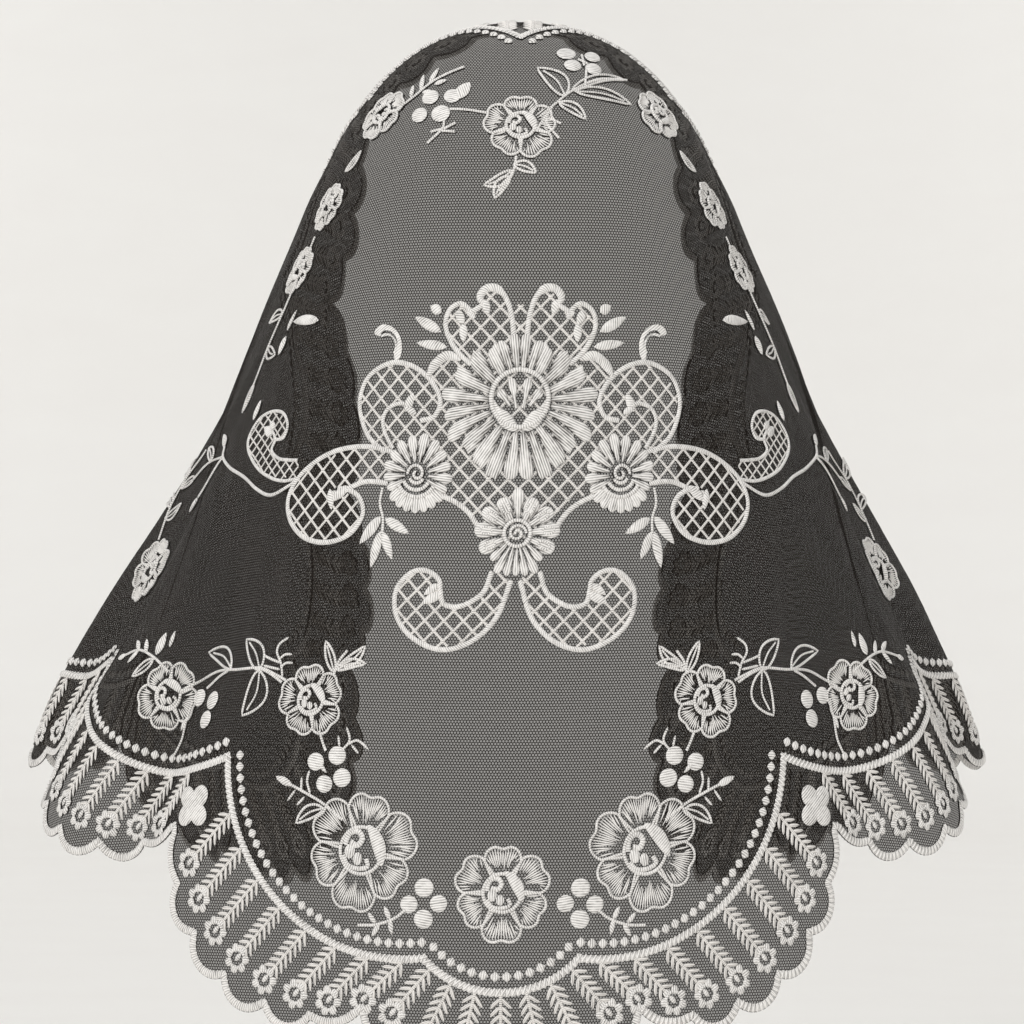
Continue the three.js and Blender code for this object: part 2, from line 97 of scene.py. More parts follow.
def linear(hex_colour):
    """An sRGB hex colour as linear red, green, blue and alpha."""
    parts = [int(hex_colour[k : k + 2], 16) / 255 for k in (0, 2, 4)]
    return [p / 12.92 if p <= 0.04045 else ((p + 0.055) / 1.055) ** 2.4 for p in parts] + [1]


def new_finish(name):
    """A material, its node tree and its surface."""
    made = bpy.data.materials.new(name)
    made.use_nodes = True
    return made, made.node_tree, made.node_tree.nodes["Principled BSDF"]


def two_tone(tree, surface, factor, low, high):
    """Colours a surface between two sRGB hex colours, by a factor."""
    colours = {"Factor": factor.outputs[0], 6: linear(low), 7: linear(high)}
    mixed = add(tree, "ShaderNodeMix", colours, data_type="RGBA")
    tree.links.new(mixed.outputs[2], surface.inputs["Base Color"])


# %% Background paper, painted with a soft matt finish
PAPER_LEVEL = -0.66
PAPER_FRONT = -3.0
PAPER_BACK = 3.4
PAPER_TOP = 4.0
PAPER_BEND = 0.7
BEND_STEPS = 12
PAPER_HALF_WIDTH = 6.0

paper_finish, tree, surface = new_finish("matt_background_paper")
grain = add(tree, "ShaderNodeTexNoise", {"Scale": 90.0, "Detail": 4.0})
two_tone(tree, surface, grain, "eceae7", "efeeeb")
surface.inputs["Roughness"].default_value = 0.9

profile = [(PAPER_FRONT, PAPER_LEVEL)]
for k in range(BEND_STEPS + 1):
    turn = math.pi / 2 * k / BEND_STEPS
    back = PAPER_BACK - PAPER_BEND * (1 - math.sin(turn))
    profile.append((back, PAPER_LEVEL + PAPER_BEND * (1 - math.cos(turn))))
profile.append((PAPER_BACK, PAPER_TOP))
corners = [(side * PAPER_HALF_WIDTH, y, z) for y, z in profile for side in (-1, 1)]
faces = [(2 * k, 2 * k + 1, 2 * k + 3, 2 * k + 2) for k in range(len(profile) - 1)]
paper_mesh = bpy.data.meshes.new("background_paper")
paper_mesh.from_pydata(corners, [], faces)
paper_mesh.shade_smooth()
paper_mesh.materials.append(paper_finish)
paper = stand("background_paper", paper_mesh)
print("Background paper:", len(faces), "faces")

# %% Soft boxes
ROOM_STRENGTH = 0.4
VEIL_MIDDLE = (0, 0, -0.25)
# Columns: name, place, the point it faces, side in metres and power in watts.
SOFT_BOXES = [
    ("key_left", (-1.5, -2.0, 0.9), VEIL_MIDDLE, 1.1, 38),
    ("fill_right", (1.9, -1.8, 0.2), VEIL_MIDDLE, 1.6, 14),
    ("top", (0, 0.1, 1.5), VEIL_MIDDLE, 1.5, 12),
    ("paper_left", (-2.2, 1.9, 1.2), (-0.3, 3.4, -0.2), 1.2, 20),
    ("paper_right", (2.2, 1.9, 1.2), (0.3, 3.4, -0.2), 1.2, 20),
]
for name, place, target, side, power in SOFT_BOXES:
    light = bpy.data.lights.new(name, "AREA")
    light.size = side
    light.energy = power
    box = stand(name, light)
    box.location = place
    aim = np.array(target) - np.array(place)
    box.rotation_euler = (math.atan2(math.hypot(aim[0], aim[1]), -aim[2]), 0, math.atan2(-aim[0], aim[1]))
room = bpy.data.worlds.new("soft_room")
room.use_nodes = True
air = room.node_tree.nodes["Background"]
air.inputs["Color"].default_value = linear("fbfaf8")
air.inputs["Strength"].default_value = ROOM_STRENGTH
bpy.context.scene.world = room
print(len(SOFT_BOXES), "soft boxes")

# %% [markdown]
# ## How the cloth lies
# Tulle hardly stretches, so each point of the flat cut has one place on the worn veil. The worn form is
# described by level sections: a dome at the crown, then a tent that widens downwards. A point of the flat
# cut goes down the back by its distance from the crown, and round the section by its angle. A cloth
# simulation could find this form too, but it would land somewhere else at each change, and the solids of
# the frame follow the same sections. Hanging folds are added along the cloth's outward direction.

# %% Sizes of the worn veil, in millimetres
DOME_RADIUS = 95.0
BACK_LENGTH = 564.0
HALF_SPAN = 490.0
SIDE_HALF_WIDTH = 238.0
BACK_DEPTH = 137.0
UPPER_FRONT_DEPTH = 67.0
LOWER_FRONT_DEPTH = 109.0
LEAN = 5.0
FOLD_HEIGHT = 11.0
FOLD_START = 300.0
SIDE_LIFT = 0.165
SIDE_LIFT_RATE = 1.85
LEVEL_STEP = 2.5

# Columns: drop is a share of BACK_LENGTH along the cloth, side of the way from the dome to SIDE_HALF_WIDTH,
# back to BACK_DEPTH, upper to UPPER_FRONT_DEPTH and lower to LOWER_FRONT_DEPTH. edge is the angle in degrees
# of the front edge, 0 at the middle of the back. lean is a share of LEAN.
SECTION_COLUMNS = ("drop", "side", "back", "upper", "lower", "edge", "lean")
SECTIONS = np.array(
    [
        (0, 0, 0, 0, 0, 90, 0.8),
        (0.089, 0, 0, 0, 0, 96, 0.8),
        (0.177, 0, 0, 0.16, 0, 105, 0.8),
        (0.222, 0.02, 0.04, 0.43, 0, 108, 0.8),
        (0.266, 0.08, 0.1, 0.68, 0, 110, 0.8),
        (0.355, 0.224, 0.19, 0.96, 0, 114, 0.8),
        (0.443, 0.364, 0.24, 1, 0, 119, 0.7),
        (0.532, 0.524, 0.333, 0.75, 0, 125, 0.5),
        (0.62, 0.706, 0.476, 0.4, 0, 131, 0.1),
        (0.709, 0.881, 0.667, 0.1, 0.1, 136, -0.5),
        (0.798, 0.986, 0.833, 0, 0.45, 140, -0.8),
        (0.887, 1, 0.929, 0, 0.8, 142, -1),
        (0.975, 1, 0.976, 0, 0.93, 143, -1),
        (1.152, 0.995, 1, 0, 1, 143, -1),
    ]
)

# Columns: angle and half width in degrees of the flat cut, height on the left and on the right as a share
# of FOLD_HEIGHT, and where the fold starts and is full as a share of FOLD_START down from the crown.
FOLDS = [
    (0, 5, 0.2, 0.2, 1.3, 1.9),
    (11, 4, -0.25, -0.2, 1.3, 1.9),
    (24.5, 2.6, -1, -0.6, 1.1, 1.5),
    (31, 3.6, 0.5, 0.35, 1.05, 1.6),
    (38.5, 3.4, -0.6, -0.65, 1, 1.6),
    (46, 3.6, 0.8, 0.75, 0.9, 1.5),
    (54, 3.6, -0.9, -0.85, 0.8, 1.4),
    (62, 3.6, 1, 1, 0.8, 1.4),
    (70, 3.6, -1, -1, 0.75, 1.4),
    (78, 3.6, 0.9, 0.9, 0.7, 1.4),
]


# %% Level sections down the back
def section_value(column, share):
    """Smooth curve through one column of SECTIONS."""
    x = SECTIONS[:, 0]
    y = SECTIONS[:, SECTION_COLUMNS.index(column)]
    slope = np.diff(y) / np.diff(x)
    tangent = np.concatenate([slope[:1], (slope[:-1] + slope[1:]) / 2, slope[-1:]])
    k = np.searchsorted(x[1:-1], share)
    span = x[k + 1] - x[k]
    t = np.minimum((share - x[k]) / span, 1)
    bend = t * t * (3 - 2 * t)
    leave = t * (1 - t) ** 2 * span * tangent[k]
    arrive = t * t * (t - 1) * span * tangent[k + 1]
    return y[k] * (1 - bend) + y[k + 1] * bend + leave + arrive


drops = np.arange(0, 1.15 * BACK_LENGTH, LEVEL_STEP)
share = drops / BACK_LENGTH
dome = DOME_RADIUS * np.sin(np.minimum(drops / DOME_RADIUS, math.pi / 2))
upper_depth = (UPPER_FRONT_DEPTH - DOME_RADIUS) * section_value("upper", share)
lower_depth = (LOWER_FRONT_DEPTH - DOME_RADIUS) * section_value("lower", share)
LEVELS = {
    "side": dome + (SIDE_HALF_WIDTH - DOME_RADIUS) * section_value("side", share),
    "back": dome + (BACK_DEPTH - DOME_RADIUS) * section_value("back", share),
    "front": dome + upper_depth + lower_depth,
    "edge": np.radians(section_value("edge", share)),
    "lean": LEAN * section_value("lean", share),
}
fall = np.sqrt(np.maximum(LEVEL_STEP**2 - np.diff(LEVELS["back"]) ** 2, 0))
LEVELS["height"] = -np.concatenate([[0], np.cumsum(fall)])
print(len(drops), "levels, the lowest at", round(LEVELS["height"][-1]), "mm")


# %% From the flat cut to the smooth cloth
ROUND_STEPS = 72


def smooth_cloth(across, down):
    """Places in millimetres on the worn veil, without folds, of points of the flat cut."""
    radius = np.hypot(across, down)
    azimuth = np.arctan2(np.abs(across), down)
    lift = SIDE_LIFT * np.sin(np.minimum(SIDE_LIFT_RATE * azimuth, math.pi)) ** 2
    at = np.minimum(radius * (1 - lift) / LEVEL_STEP, len(drops) - 1.001)
    level = {k: np.interp(at, np.arange(len(drops)), column)[:, None] for k, column in LEVELS.items()}

    # Half a section, from the middle of the back to the middle of the front.
    angle = np.linspace(0, math.pi, ROUND_STEPS + 1)[None, :]
    depth = np.where(angle < math.pi / 2, level["back"], level["front"])
    side = np.maximum(level["side"], 1e-6)
    reach = 1 / np.hypot(np.sin(angle) / side, np.cos(angle) / np.maximum(depth, 1e-6))
    x, y = reach * np.sin(angle), -reach * np.cos(angle)
    piece = np.hypot(np.diff(x), np.diff(y))
    part = np.clip(level["edge"] * ROUND_STEPS / math.pi - np.arange(ROUND_STEPS)[None, :], 0, 1)
    edge_length = (piece * part).sum(axis=1)
    length = np.concatenate([np.zeros((len(piece), 1)), np.cumsum(piece, axis=1)], axis=1)

    # Distance round the section: true to the cut at the back, gathered towards the front.
    turn = 2 * azimuth / math.pi
    flat = radius * math.pi / 2
    gather = edge_length - flat
    before_edge = flat * turn + gather * turn**2 * (3 - turn) / 2
    rest = np.maximum(length[:, -1] - edge_length, 1e-6)
    rate = (flat + 1.5 * gather) / rest
    beyond = np.clip(turn - 1, 0, 1)
    past_edge = edge_length + rest * (rate * beyond + (1 - rate) * beyond**3)
    wanted = np.where(turn <= 1, before_edge, past_edge)

    row = np.arange(len(wanted))
    k = 1 + (length[:, 1:-1] < wanted[:, None]).sum(axis=1)
    t = (wanted - length[row, k - 1]) / np.maximum(length[row, k] - length[row, k - 1], 1e-9)
    t = np.clip(t, 0, 1)
    px = x[row, k - 1] * (1 - t) + x[row, k] * t
    py = y[row, k - 1] * (1 - t) + y[row, k] * t
    return np.stack([level["lean"][:, 0] + np.sign(across) * px, py, level["height"][:, 0]], axis=1)


# %% Folds, fine creases and the table of places
GRID_STEP = 3.0
CREASE_HEIGHT = 1.4
PLEAT_HEIGHT = 6.5
PLEATS_PER_DEGREE = 0.2
GRID_HALF_WIDTH = 510
GRID_TOP, GRID_BOTTOM = -48, 618
# Columns: change of phase for a degree round and for a millimetre down, first phase and share of the height.
CREASE_WAVES = [(0.62, 0.011, 0, 1), (1.37, -0.019, 1, 0.6)]
# Where creases and pleats begin and where they are full: millimetres from the crown, degrees from the back.
CREASES_DOWN, CREASES_ROUND = (120, 420), (14, 50)
PLEATS_DOWN, PLEATS_ROUND = (130, 300), (66, 96)


def smoothstep(value, start, full):
    """0 up to start, 1 from full on, and a smooth rise between them."""
    t = np.clip((value - start) / (full - start), 0, 1)
    return t * t * (3 - 2 * t)


def fold_height(across, down):
    """Height of the hanging folds over the smooth cloth, with the fine creases that tulle keeps."""
    radius = np.hypot(across, down)
    azimuth = np.degrees(np.arctan2(np.abs(across), down))
    height = np.zeros_like(radius)
    for middle, half_width, left, right, start, full in FOLDS:
        grown = smoothstep(radius / FOLD_START, start, full)
        shape = np.exp(-(((azimuth - middle) / half_width) ** 2))
        height += FOLD_HEIGHT * np.where(across < 0, left, right) * grown * shape
    signed = np.degrees(np.arctan2(across, down))
    creases = sum(part * np.sin(a * signed + b * radius + phase) for a, b, phase, part in CREASE_WAVES)
    looseness = smoothstep(radius, *CREASES_DOWN) * smoothstep(np.abs(signed), *CREASES_ROUND)
    gathered = smoothstep(azimuth, *PLEATS_ROUND) * smoothstep(radius, *PLEATS_DOWN)
    pleats = np.sin(2 * math.pi * PLEATS_PER_DEGREE * azimuth + 0.4 * np.sin(0.02 * radius))
    return height + CREASE_HEIGHT * creases * looseness + PLEAT_HEIGHT * pleats * gathered


def outward(places):
    """Outward directions of a grid of places: rows run down, columns run across."""
    below, right = np.gradient(places, axis=0), np.gradient(places, axis=1)
    normal = np.cross(below, right)
    return normal / np.maximum(np.linalg.norm(normal, axis=2, keepdims=True), 1e-9)


grid_u = np.arange(-GRID_HALF_WIDTH, GRID_HALF_WIDTH + 1, GRID_STEP)
grid_v = np.arange(GRID_TOP, GRID_BOTTOM, GRID_STEP)
flat_u, flat_v = np.meshgrid(grid_u, grid_v)
smooth = np.stack([smooth_cloth(u, v) for u, v in zip(flat_u, flat_v)])
GRID_PLACES = smooth + outward(smooth) * fold_height(flat_u, flat_v)[:, :, None]
GRID_NORMALS = outward(GRID_PLACES)


def drape(across, down, height):
    """Places in metres on the worn veil, height millimetres outside the middle of the cloth."""
    c = np.clip((np.asarray(across) - grid_u[0]) / GRID_STEP, 0, len(grid_u) - 1.001)
    r = np.clip((np.asarray(down) - grid_v[0]) / GRID_STEP, 0, len(grid_v) - 1.001)
    i, j = c.astype(int), r.astype(int)
    s, t = (c - i)[:, None], (r - j)[:, None]

    def between(grid):
        top = grid[j, i] * (1 - s) + grid[j, i + 1] * s
        low = grid[j + 1, i] * (1 - s) + grid[j + 1, i + 1] * s
        return top * (1 - t) + low * t

    return (between(GRID_PLACES) + between(GRID_NORMALS) * np.asarray(height)[:, None]) * MM


print("Table of", flat_u.size, "places of the worn cloth")

# %% [markdown]
# ## The outline of the cut
# The border runs in large lobes that meet in cusps, and the hem's lobes carry small scallops. Both lines
# come from one list of corners and arcs between them, so the band between them keeps an even width, and
# all that is embroidered along the border can follow these two lines.

# %% Sizes of the border, in millimetres
BORDER_WIDTH = 48.0
SCALLOP_PITCH = 26.0
SCALLOP_DEPTH = 7.6
END_SCALLOP_DEPTH = 4.2
FRONT_LOBES_PER_SIDE = 4
FRONT_LOBE_SPAN = 0.776
FRONT_RIB_DROP = 52.0
FRONT_RIB_RISE = 25.0
FRONT_NOTCH_REACH = 1.25
CENTRE_BULGE = 0.21
CORD_WIDTH = 4.3
RIB_WIDTH = 4.0

# Columns: across as a share of HALF_SPAN, down as a share of BACK_LENGTH, bulge of the lobe to the next
# cusp as a share of their distance, way to the hem's notch as a share of BORDER_WIDTH, and its heading in
# degrees, 0 straight down and 90 sideways.
SIDE_CUSPS = [
    (0.073, 0.881, 0.22, 0.84, 50),
    (0.288, 0.723, 0.23, 0.96, 46),
    (0.545, 0.592, 0.23, 0.96, 42),
    (0.739, 0.418, 0.23, 0.94, 56),
    (0.898, 0.23, 0.45, 0.96, 78),
]

# %% Corners round the veil: the rib's cusp, the hem's notch and the bulge of the lobe that follows
front_width = HALF_SPAN * FRONT_LOBE_SPAN / FRONT_LOBES_PER_SIDE
right_corners = []
for across, down, bulge, reach, heading in SIDE_CUSPS:
    rib = np.array([across * HALF_SPAN, down * BACK_LENGTH])
    way = np.array([math.sin(math.radians(heading)), math.cos(math.radians(heading))])
    right_corners.append((rib, rib + reach * BORDER_WIDTH * way, bulge))
for k in range(FRONT_LOBES_PER_SIDE + 1):
    rib = np.array([front_width * (FRONT_LOBES_PER_SIDE - k), FRONT_RIB_DROP])
    right_corners.append((rib, rib - (0, FRONT_NOTCH_REACH * BORDER_WIDTH), FRONT_RIB_RISE / front_width))
# On the left the corners run back, so each takes the bulge of the one before it, and the last the middle's.
mirror = np.array([-1, 1])
left_bulges = [corner[2] for corner in right_corners[-3::-1]] + [CENTRE_BULGE]
left_corners = [
    (rib * mirror, hem * mirror, bulge) for (rib, hem, _), bulge in zip(right_corners[-2::-1], left_bulges)
]
CORNERS = right_corners + left_corners
print(len(CORNERS), "corners of the border")


# %% Arcs between the corners
def arc_points(a, b, rise, pieces):
    """Points of an arc from a to b, without b, that swells outwards."""
    chord = np.hypot(*(b - a))
    outside = np.array([-(b - a)[1], (b - a)[0]]) / chord
    radius = chord**2 / (8 * rise) + rise / 2
    half = math.asin(min(chord / (2 * radius), 1))
    full = math.pi - half if rise > chord / 2 else half
    angle = full * (2 * np.arange(pieces) / pieces - 1)[:, None]
    along = 0.5 + radius * np.sin(angle) / chord
    return a + (b - a) * along + outside * (rise - radius * (1 - np.cos(angle)))


def arc_length(a, b, rise):
    """Length of a flat arc, near enough to count pieces along it."""
    chord = np.hypot(*(b - a))
    return chord * (1 + 8 / 3 * (rise / chord) ** 2)


def unit(steps):
    """Flat steps, each made one long."""
    return steps / np.maximum(np.hypot(steps[:, 0], steps[:, 1])[:, None], 1e-9)


def to_left(steps):
    """Flat steps, each turned a quarter turn."""
    return np.stack([-steps[:, 1], steps[:, 0]], axis=1)


RIB_STEP = 3
SCALLOP_PIECES = 12
LOBES = []
for k, (rib, hem, bulge) in enumerate(CORNERS):
    next_rib, next_hem, _ = CORNERS[(k + 1) % len(CORNERS)]
    rib_rise = bulge * np.hypot(*(next_rib - rib))
    step = next_hem - hem
    outside = np.array([-step[1], step[0]]) / np.hypot(*step)
    between = ((hem + next_hem) / 2 - (rib + next_rib) / 2) @ outside
    LOBES.append((rib, next_rib, rib_rise, hem, next_hem, rib_rise + BORDER_WIDTH - between))

RIB_LINES = []
HEM_POINTS = []
for rib, next_rib, rib_rise, hem, next_hem, hem_rise in LOBES:
    pieces = max(8, round(arc_length(rib, next_rib, rib_rise) / RIB_STEP))
    RIB_LINES.append(np.vstack([arc_points(rib, next_rib, rib_rise, pieces), next_rib]))
    count = max(2, round(arc_length(hem, next_hem, hem_rise) / SCALLOP_PITCH))
    notches = np.vstack([arc_points(hem, next_hem, hem_rise, count), next_hem])
    for n in range(count):
        depth = END_SCALLOP_DEPTH if n in (0, count - 1) else SCALLOP_DEPTH
        HEM_POINTS.append(arc_points(notches[n], notches[n + 1], depth, SCALLOP_PIECES))
HEM_LINE = np.vstack(HEM_POINTS)
RIB_LINE = np.vstack([line[:-1] for line in RIB_LINES])


def inset(line, distance):
    """The closed line moved to its inner side."""
    inner = -to_left(unit(np.roll(line, -1, axis=0) - line))
    before = np.roll(inner, 1, axis=0)
    share = np.maximum(1 + (inner * before).sum(axis=1), 0.6)[:, None]
    return line + distance * (inner + before) / share


# %% [markdown]
# ## The tulle
# Tulle is a net of very fine thread with six-sided holes, here about one and a half millimetres across. The
# sheet is one layer of faces, cut to the hem's line while it is flat and then draped. Its holes are drawn by
# the material: a real net this fine would take millions of faces.


# %% The finish of the net: fine black polyamide tulle, matt, with six-sided holes
TULLE_CELL = 1.45
TULLE_THREAD = 0.42
THREAD_EDGE = 0.08
HOLE_HAZE = 0.61

tulle, tree, surface = new_finish("black_polyamide_tulle")
surface.inputs["Roughness"].default_value = 0.8
surface.inputs["Specular IOR Level"].default_value = 0.1
place = add(tree, "ShaderNodeAttribute", attribute_name="flat_mm")
# The cells are two rectangular lattices, the second moved by half a cell. Each place takes the nearer.
cell = (TULLE_CELL, TULLE_CELL * math.sqrt(3), 1)
half_cell = tuple(c / 2 for c in cell)
offsets = []
for shift in ((0, 0, 0), half_cell):
    moved = add(tree, "ShaderNodeVectorMath", {0: place.outputs["Vector"], 1: shift}, operation="ADD")
    limits = {0: moved.outputs[0], 1: half_cell, 2: tuple(-c for c in half_cell)}
    wrapped = add(tree, "ShaderNodeVectorMath", limits, operation="WRAP")
    across = {0: wrapped.outputs[0], 1: (1, 1, 0)}
    level = add(tree, "ShaderNodeVectorMath", across, operation="MULTIPLY")
    offsets.append(add(tree, "ShaderNodeVectorMath", {0: level.outputs[0]}, operation="ABSOLUTE"))
lengths = [add(tree, "ShaderNodeVectorMath", {0: o.outputs[0]}, operation="LENGTH") for o in offsets]
first, second = (found.outputs["Value"] for found in lengths)
nearer = add(tree, "ShaderNodeMath", {0: first, 1: second}, operation="LESS_THAN")
choice = {"Factor": nearer.outputs[0], 4: offsets[1].outputs[0], 5: offsets[0].outputs[0]}
near = add(tree, "ShaderNodeMix", choice, data_type="VECTOR")
toward_corner = {0: near.outputs[1], 1: (0.5, math.sqrt(3) / 2, 0)}
slanted = add(tree, "ShaderNodeVectorMath", toward_corner, operation="DOT_PRODUCT")
parts = add(tree, "ShaderNodeSeparateXYZ", {0: near.outputs[1]})
both_ways = {0: parts.outputs[0], 1: slanted.outputs["Value"]}
to_side = add(tree, "ShaderNodeMath", both_ways, operation="MAXIMUM")
thread_starts = TULLE_CELL / 2 - TULLE_THREAD / 2
ramp = {"From Min": thread_starts - THREAD_EDGE, "From Max": thread_starts + THREAD_EDGE}
shown = {"Value": to_side.outputs[0], **ramp, "To Min": HOLE_HAZE}
thread_mask = add(tree, "ShaderNodeMapRange", shown)
tree.links.new(thread_mask.outputs[0], surface.inputs["Alpha"])
dust = add(tree, "ShaderNodeTexNoise", {"Vector": place.outputs["Vector"], "Scale": 0.02, "Detail": 3.0})
two_tone(tree, surface, dust, "17130f", "241f1b")
open_share = (1 - TULLE_THREAD / TULLE_CELL) ** 2
print("Net covers", round(1 - open_share * (1 - HOLE_HAZE), 2), "of what lies behind it")

# %% Sheet of net, cut flat and then draped
NET_STEP = 3.5
RIM_GAP = 0.6


def inside(points, line):
    """Which points lie inside a closed line."""
    result = np.zeros(len(points), bool)
    for a, b in zip(line, np.roll(line, -1, axis=0)):
        crosses = (a[1] > points[:, 1]) != (b[1] > points[:, 1])
        with np.errstate(divide="ignore", invalid="ignore"):
            side = a[0] + (points[:, 1] - a[1]) * (b[0] - a[0]) / (b[1] - a[1])
        result ^= crosses & (points[:, 0] < side)
    return result


row_step = NET_STEP * math.sqrt(3) / 2
last_column = math.ceil(np.abs(HEM_LINE[:, 0]).max() / NET_STEP)
first_row = math.floor(HEM_LINE[:, 1].min() / row_step)
last_row = math.ceil(HEM_LINE[:, 1].max() / row_step)
columns, rows = np.meshgrid(np.arange(-last_column, last_column + 1), np.arange(first_row, last_row + 1))
lattice = np.stack([(columns + rows % 2 / 2) * NET_STEP, rows * row_step], axis=2).reshape(-1, 2)
lattice = lattice[inside(lattice, inset(HEM_LINE, NET_STEP * RIM_GAP))]
flat_points = np.vstack([HEM_LINE, lattice])
rim = [(k, (k + 1) % len(HEM_LINE)) for k in range(len(HEM_LINE))]
cut = delaunay_2d_cdt([p.tolist() for p in flat_points], rim, [], 1, 1e-4)
cut_points = np.array([tuple(p) for p in cut[0]])
middles = np.array([cut_points[list(f)].mean(axis=0) for f in cut[2]])
cut_faces = [tuple(f[::-1]) for f, kept in zip(cut[2], inside(middles, HEM_LINE)) if kept]

net_mesh = bpy.data.meshes.new("tulle_sheet")
places = drape(cut_points[:, 0], cut_points[:, 1], np.zeros(len(cut_points)))
net_mesh.from_pydata(places.tolist(), [], cut_faces)
net_mesh.shade_smooth()
flat_mm = net_mesh.attributes.new("flat_mm", "FLOAT_VECTOR", "POINT")
flat_mm.data.foreach_set("vector", np.column_stack([cut_points, np.zeros(len(cut_points))]).ravel())
net_mesh.materials.append(tulle)
tulle_sheet = stand("tulle_sheet", net_mesh)
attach(tulle_sheet, "root")
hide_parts("veil_net")
print("Tulle sheet:", len(cut_faces), "triangles")

# %% [markdown]
# ## Satin thread
# The embroidery is bright rayon thread. In satin stitch many threads lie side by side, so the surface has a
# soft line of light across the threads and a dark line between them. The finish paints this highlight and
# shade into the thread's colour, and also raises the same wave as a bump. Every embroidered mesh carries an
# attribute `thread`: how far a place lies across the threads, and how far along them, in millimetres, and a
# third value that darkens sparse threads and adds painted shade at petal slits. The finish reads it, so its
# strands follow each leaf and cord wherever the cloth turns.


# %% The finish of the thread: bright rayon embroidery thread, laid in satin stitch
# Weights on the tone: each strand's round (painted highlight and shade), uneven patches, sparse threads and
# painted slit shade.
STRAND_WEIGHT = 0.62
PATCH_WEIGHT = 0.55
SPARSE_AND_SHADE_WEIGHT = -0.62


def thread_finish(name, light, dark, pitch, roughness, depth):
    """Rayon thread, with painted highlights on the round of its strands and painted shade between them.
    pitch is the distance in millimetres between drawn strands.
    """
    made, tree, surface = new_finish(name)
    surface.inputs["Sheen Weight"].default_value = 0.15
    surface.inputs["Specular IOR Level"].default_value = 0.4
    thread = add(tree, "ShaderNodeAttribute", attribute_name="thread")
    parts = add(tree, "ShaderNodeSeparateXYZ", {0: thread.outputs["Vector"]})
    # A wave across the threads paints a highlight on each strand's round and shade between strands into the
    # colour; it also drives the bump.
    phase = add(tree, "ShaderNodeMath", {0: parts.outputs[0], 1: 2 * math.pi / pitch}, operation="MULTIPLY")
    wave = add(tree, "ShaderNodeMath", {0: phase.outputs[0]}, operation="SINE")
    crown = add(tree, "ShaderNodeMapRange", {"Value": wave.outputs[0], "From Min": -1.0, "From Max": 1.0})
    stretch = {0: thread.outputs["Vector"], 1: (1.1 / pitch, 0.22, 0.0)}
    stretched = add(tree, "ShaderNodeVectorMath", stretch, operation="MULTIPLY")
    streaks = add(tree, "ShaderNodeTexNoise", {"Vector": stretched.outputs[0], "Scale": 1.0, "Detail": 3.0})
    place = add(tree, "ShaderNodeTexCoord")
    spots = {"Vector": place.outputs["Object"], "Scale": 160.0, "Detail": 2.0}
    patches = add(tree, "ShaderNodeTexNoise", spots)

    def weighed(source, weight, base):
        """The source times its weight, added to the base."""
        terms = {0: source, 1: weight, 2: base.outputs[0]}
        return add(tree, "ShaderNodeMath", terms, operation="MULTIPLY_ADD")

    mixed = weighed(crown.outputs[0], STRAND_WEIGHT, streaks)
    uneven = weighed(patches.outputs[0], PATCH_WEIGHT, mixed)
    # The third value of the thread attribute darkens the colour: sparser threads, and painted shade at the
    # slits between petals.
    sparse_and_shaded = weighed(parts.outputs[2], SPARSE_AND_SHADE_WEIGHT, uneven)
    tone = add(tree, "ShaderNodeMapRange", {"Value": sparse_and_shaded.outputs[0], "From Min": 0.45, "From Max": 1.2})
    two_tone(tree, surface, tone, dark, light)
    rough = {"Value": streaks.outputs[0], "To Min": roughness - 0.08, "To Max": roughness + 0.12}
    gloss = add(tree, "ShaderNodeMapRange", rough)
    tree.links.new(gloss.outputs[0], surface.inputs["Roughness"])
    bump = add(tree, "ShaderNodeBump", {"Height": mixed.outputs[0], "Distance": depth * MM, "Strength": 0.8})
    tree.links.new(bump.outputs[0], surface.inputs["Normal"])
    return made


SATIN = thread_finish("bright_rayon_satin_stitch", "f1eeea", "4f4b46", 1.15, 0.36, 0.3)
RUNNING = thread_finish("rayon_running_stitch", "ebe7e2", "66625c", 0.9, 0.45, 0.15)
print("Finishes:", SATIN.name, "and", RUNNING.name)


# %% A drawing board for flat embroidery, and the step that lays it on the cloth
class Board:
    """One embroidered figure, drawn flat in millimetres: x across, y towards the crown, z off the cloth."""

    def __init__(self):
        self.points, self.threads, self.faces, self.count = [], [], [], 0

    def add(self, points, threads, faces, sparse_and_shade=0.0):
        """The last value darkens the threads: how far apart they lie, 0 where they close the ground and 1
        where it shows through, with painted shade added at a petal's slits.
        """
        self.points.append(np.asarray(points, float))
        self.threads.append(np.column_stack([threads, np.full(len(points), sparse_and_shade)]))
        self.faces.append(np.asarray(faces, int) + self.count)
        self.count += len(points)

    def mesh(self, name):
        made = bpy.data.meshes.new(name)
        faces = [tuple(f) for part in self.faces for f in part.tolist()]
        made.from_pydata(np.vstack(self.points).tolist(), [], faces)
        thread = made.attributes.new("thread", "FLOAT_VECTOR", "POINT")
        thread.data.foreach_set("vector", np.vstack(self.threads).ravel())
        return made


UNDERSIDE = -0.3
UNDER_SHARE = 0.3


def add_underside(mesh):
    """Adds the same stitches on the inner face of the net, flatter, since each thread passes through it."""
    under = mesh.copy()
    flat = np.empty(len(under.vertices) * 3)
    under.vertices.foreach_get("co", flat)
    flat[2::3] = UNDERSIDE - UNDER_SHARE * flat[2::3]
    under.vertices.foreach_set("co", flat)
    under.flip_normals()
    joined = bmesh.new()
    joined.from_mesh(mesh)
    joined.from_mesh(under)
    joined.to_mesh(mesh)
    joined.free()
    bpy.data.meshes.remove(under)


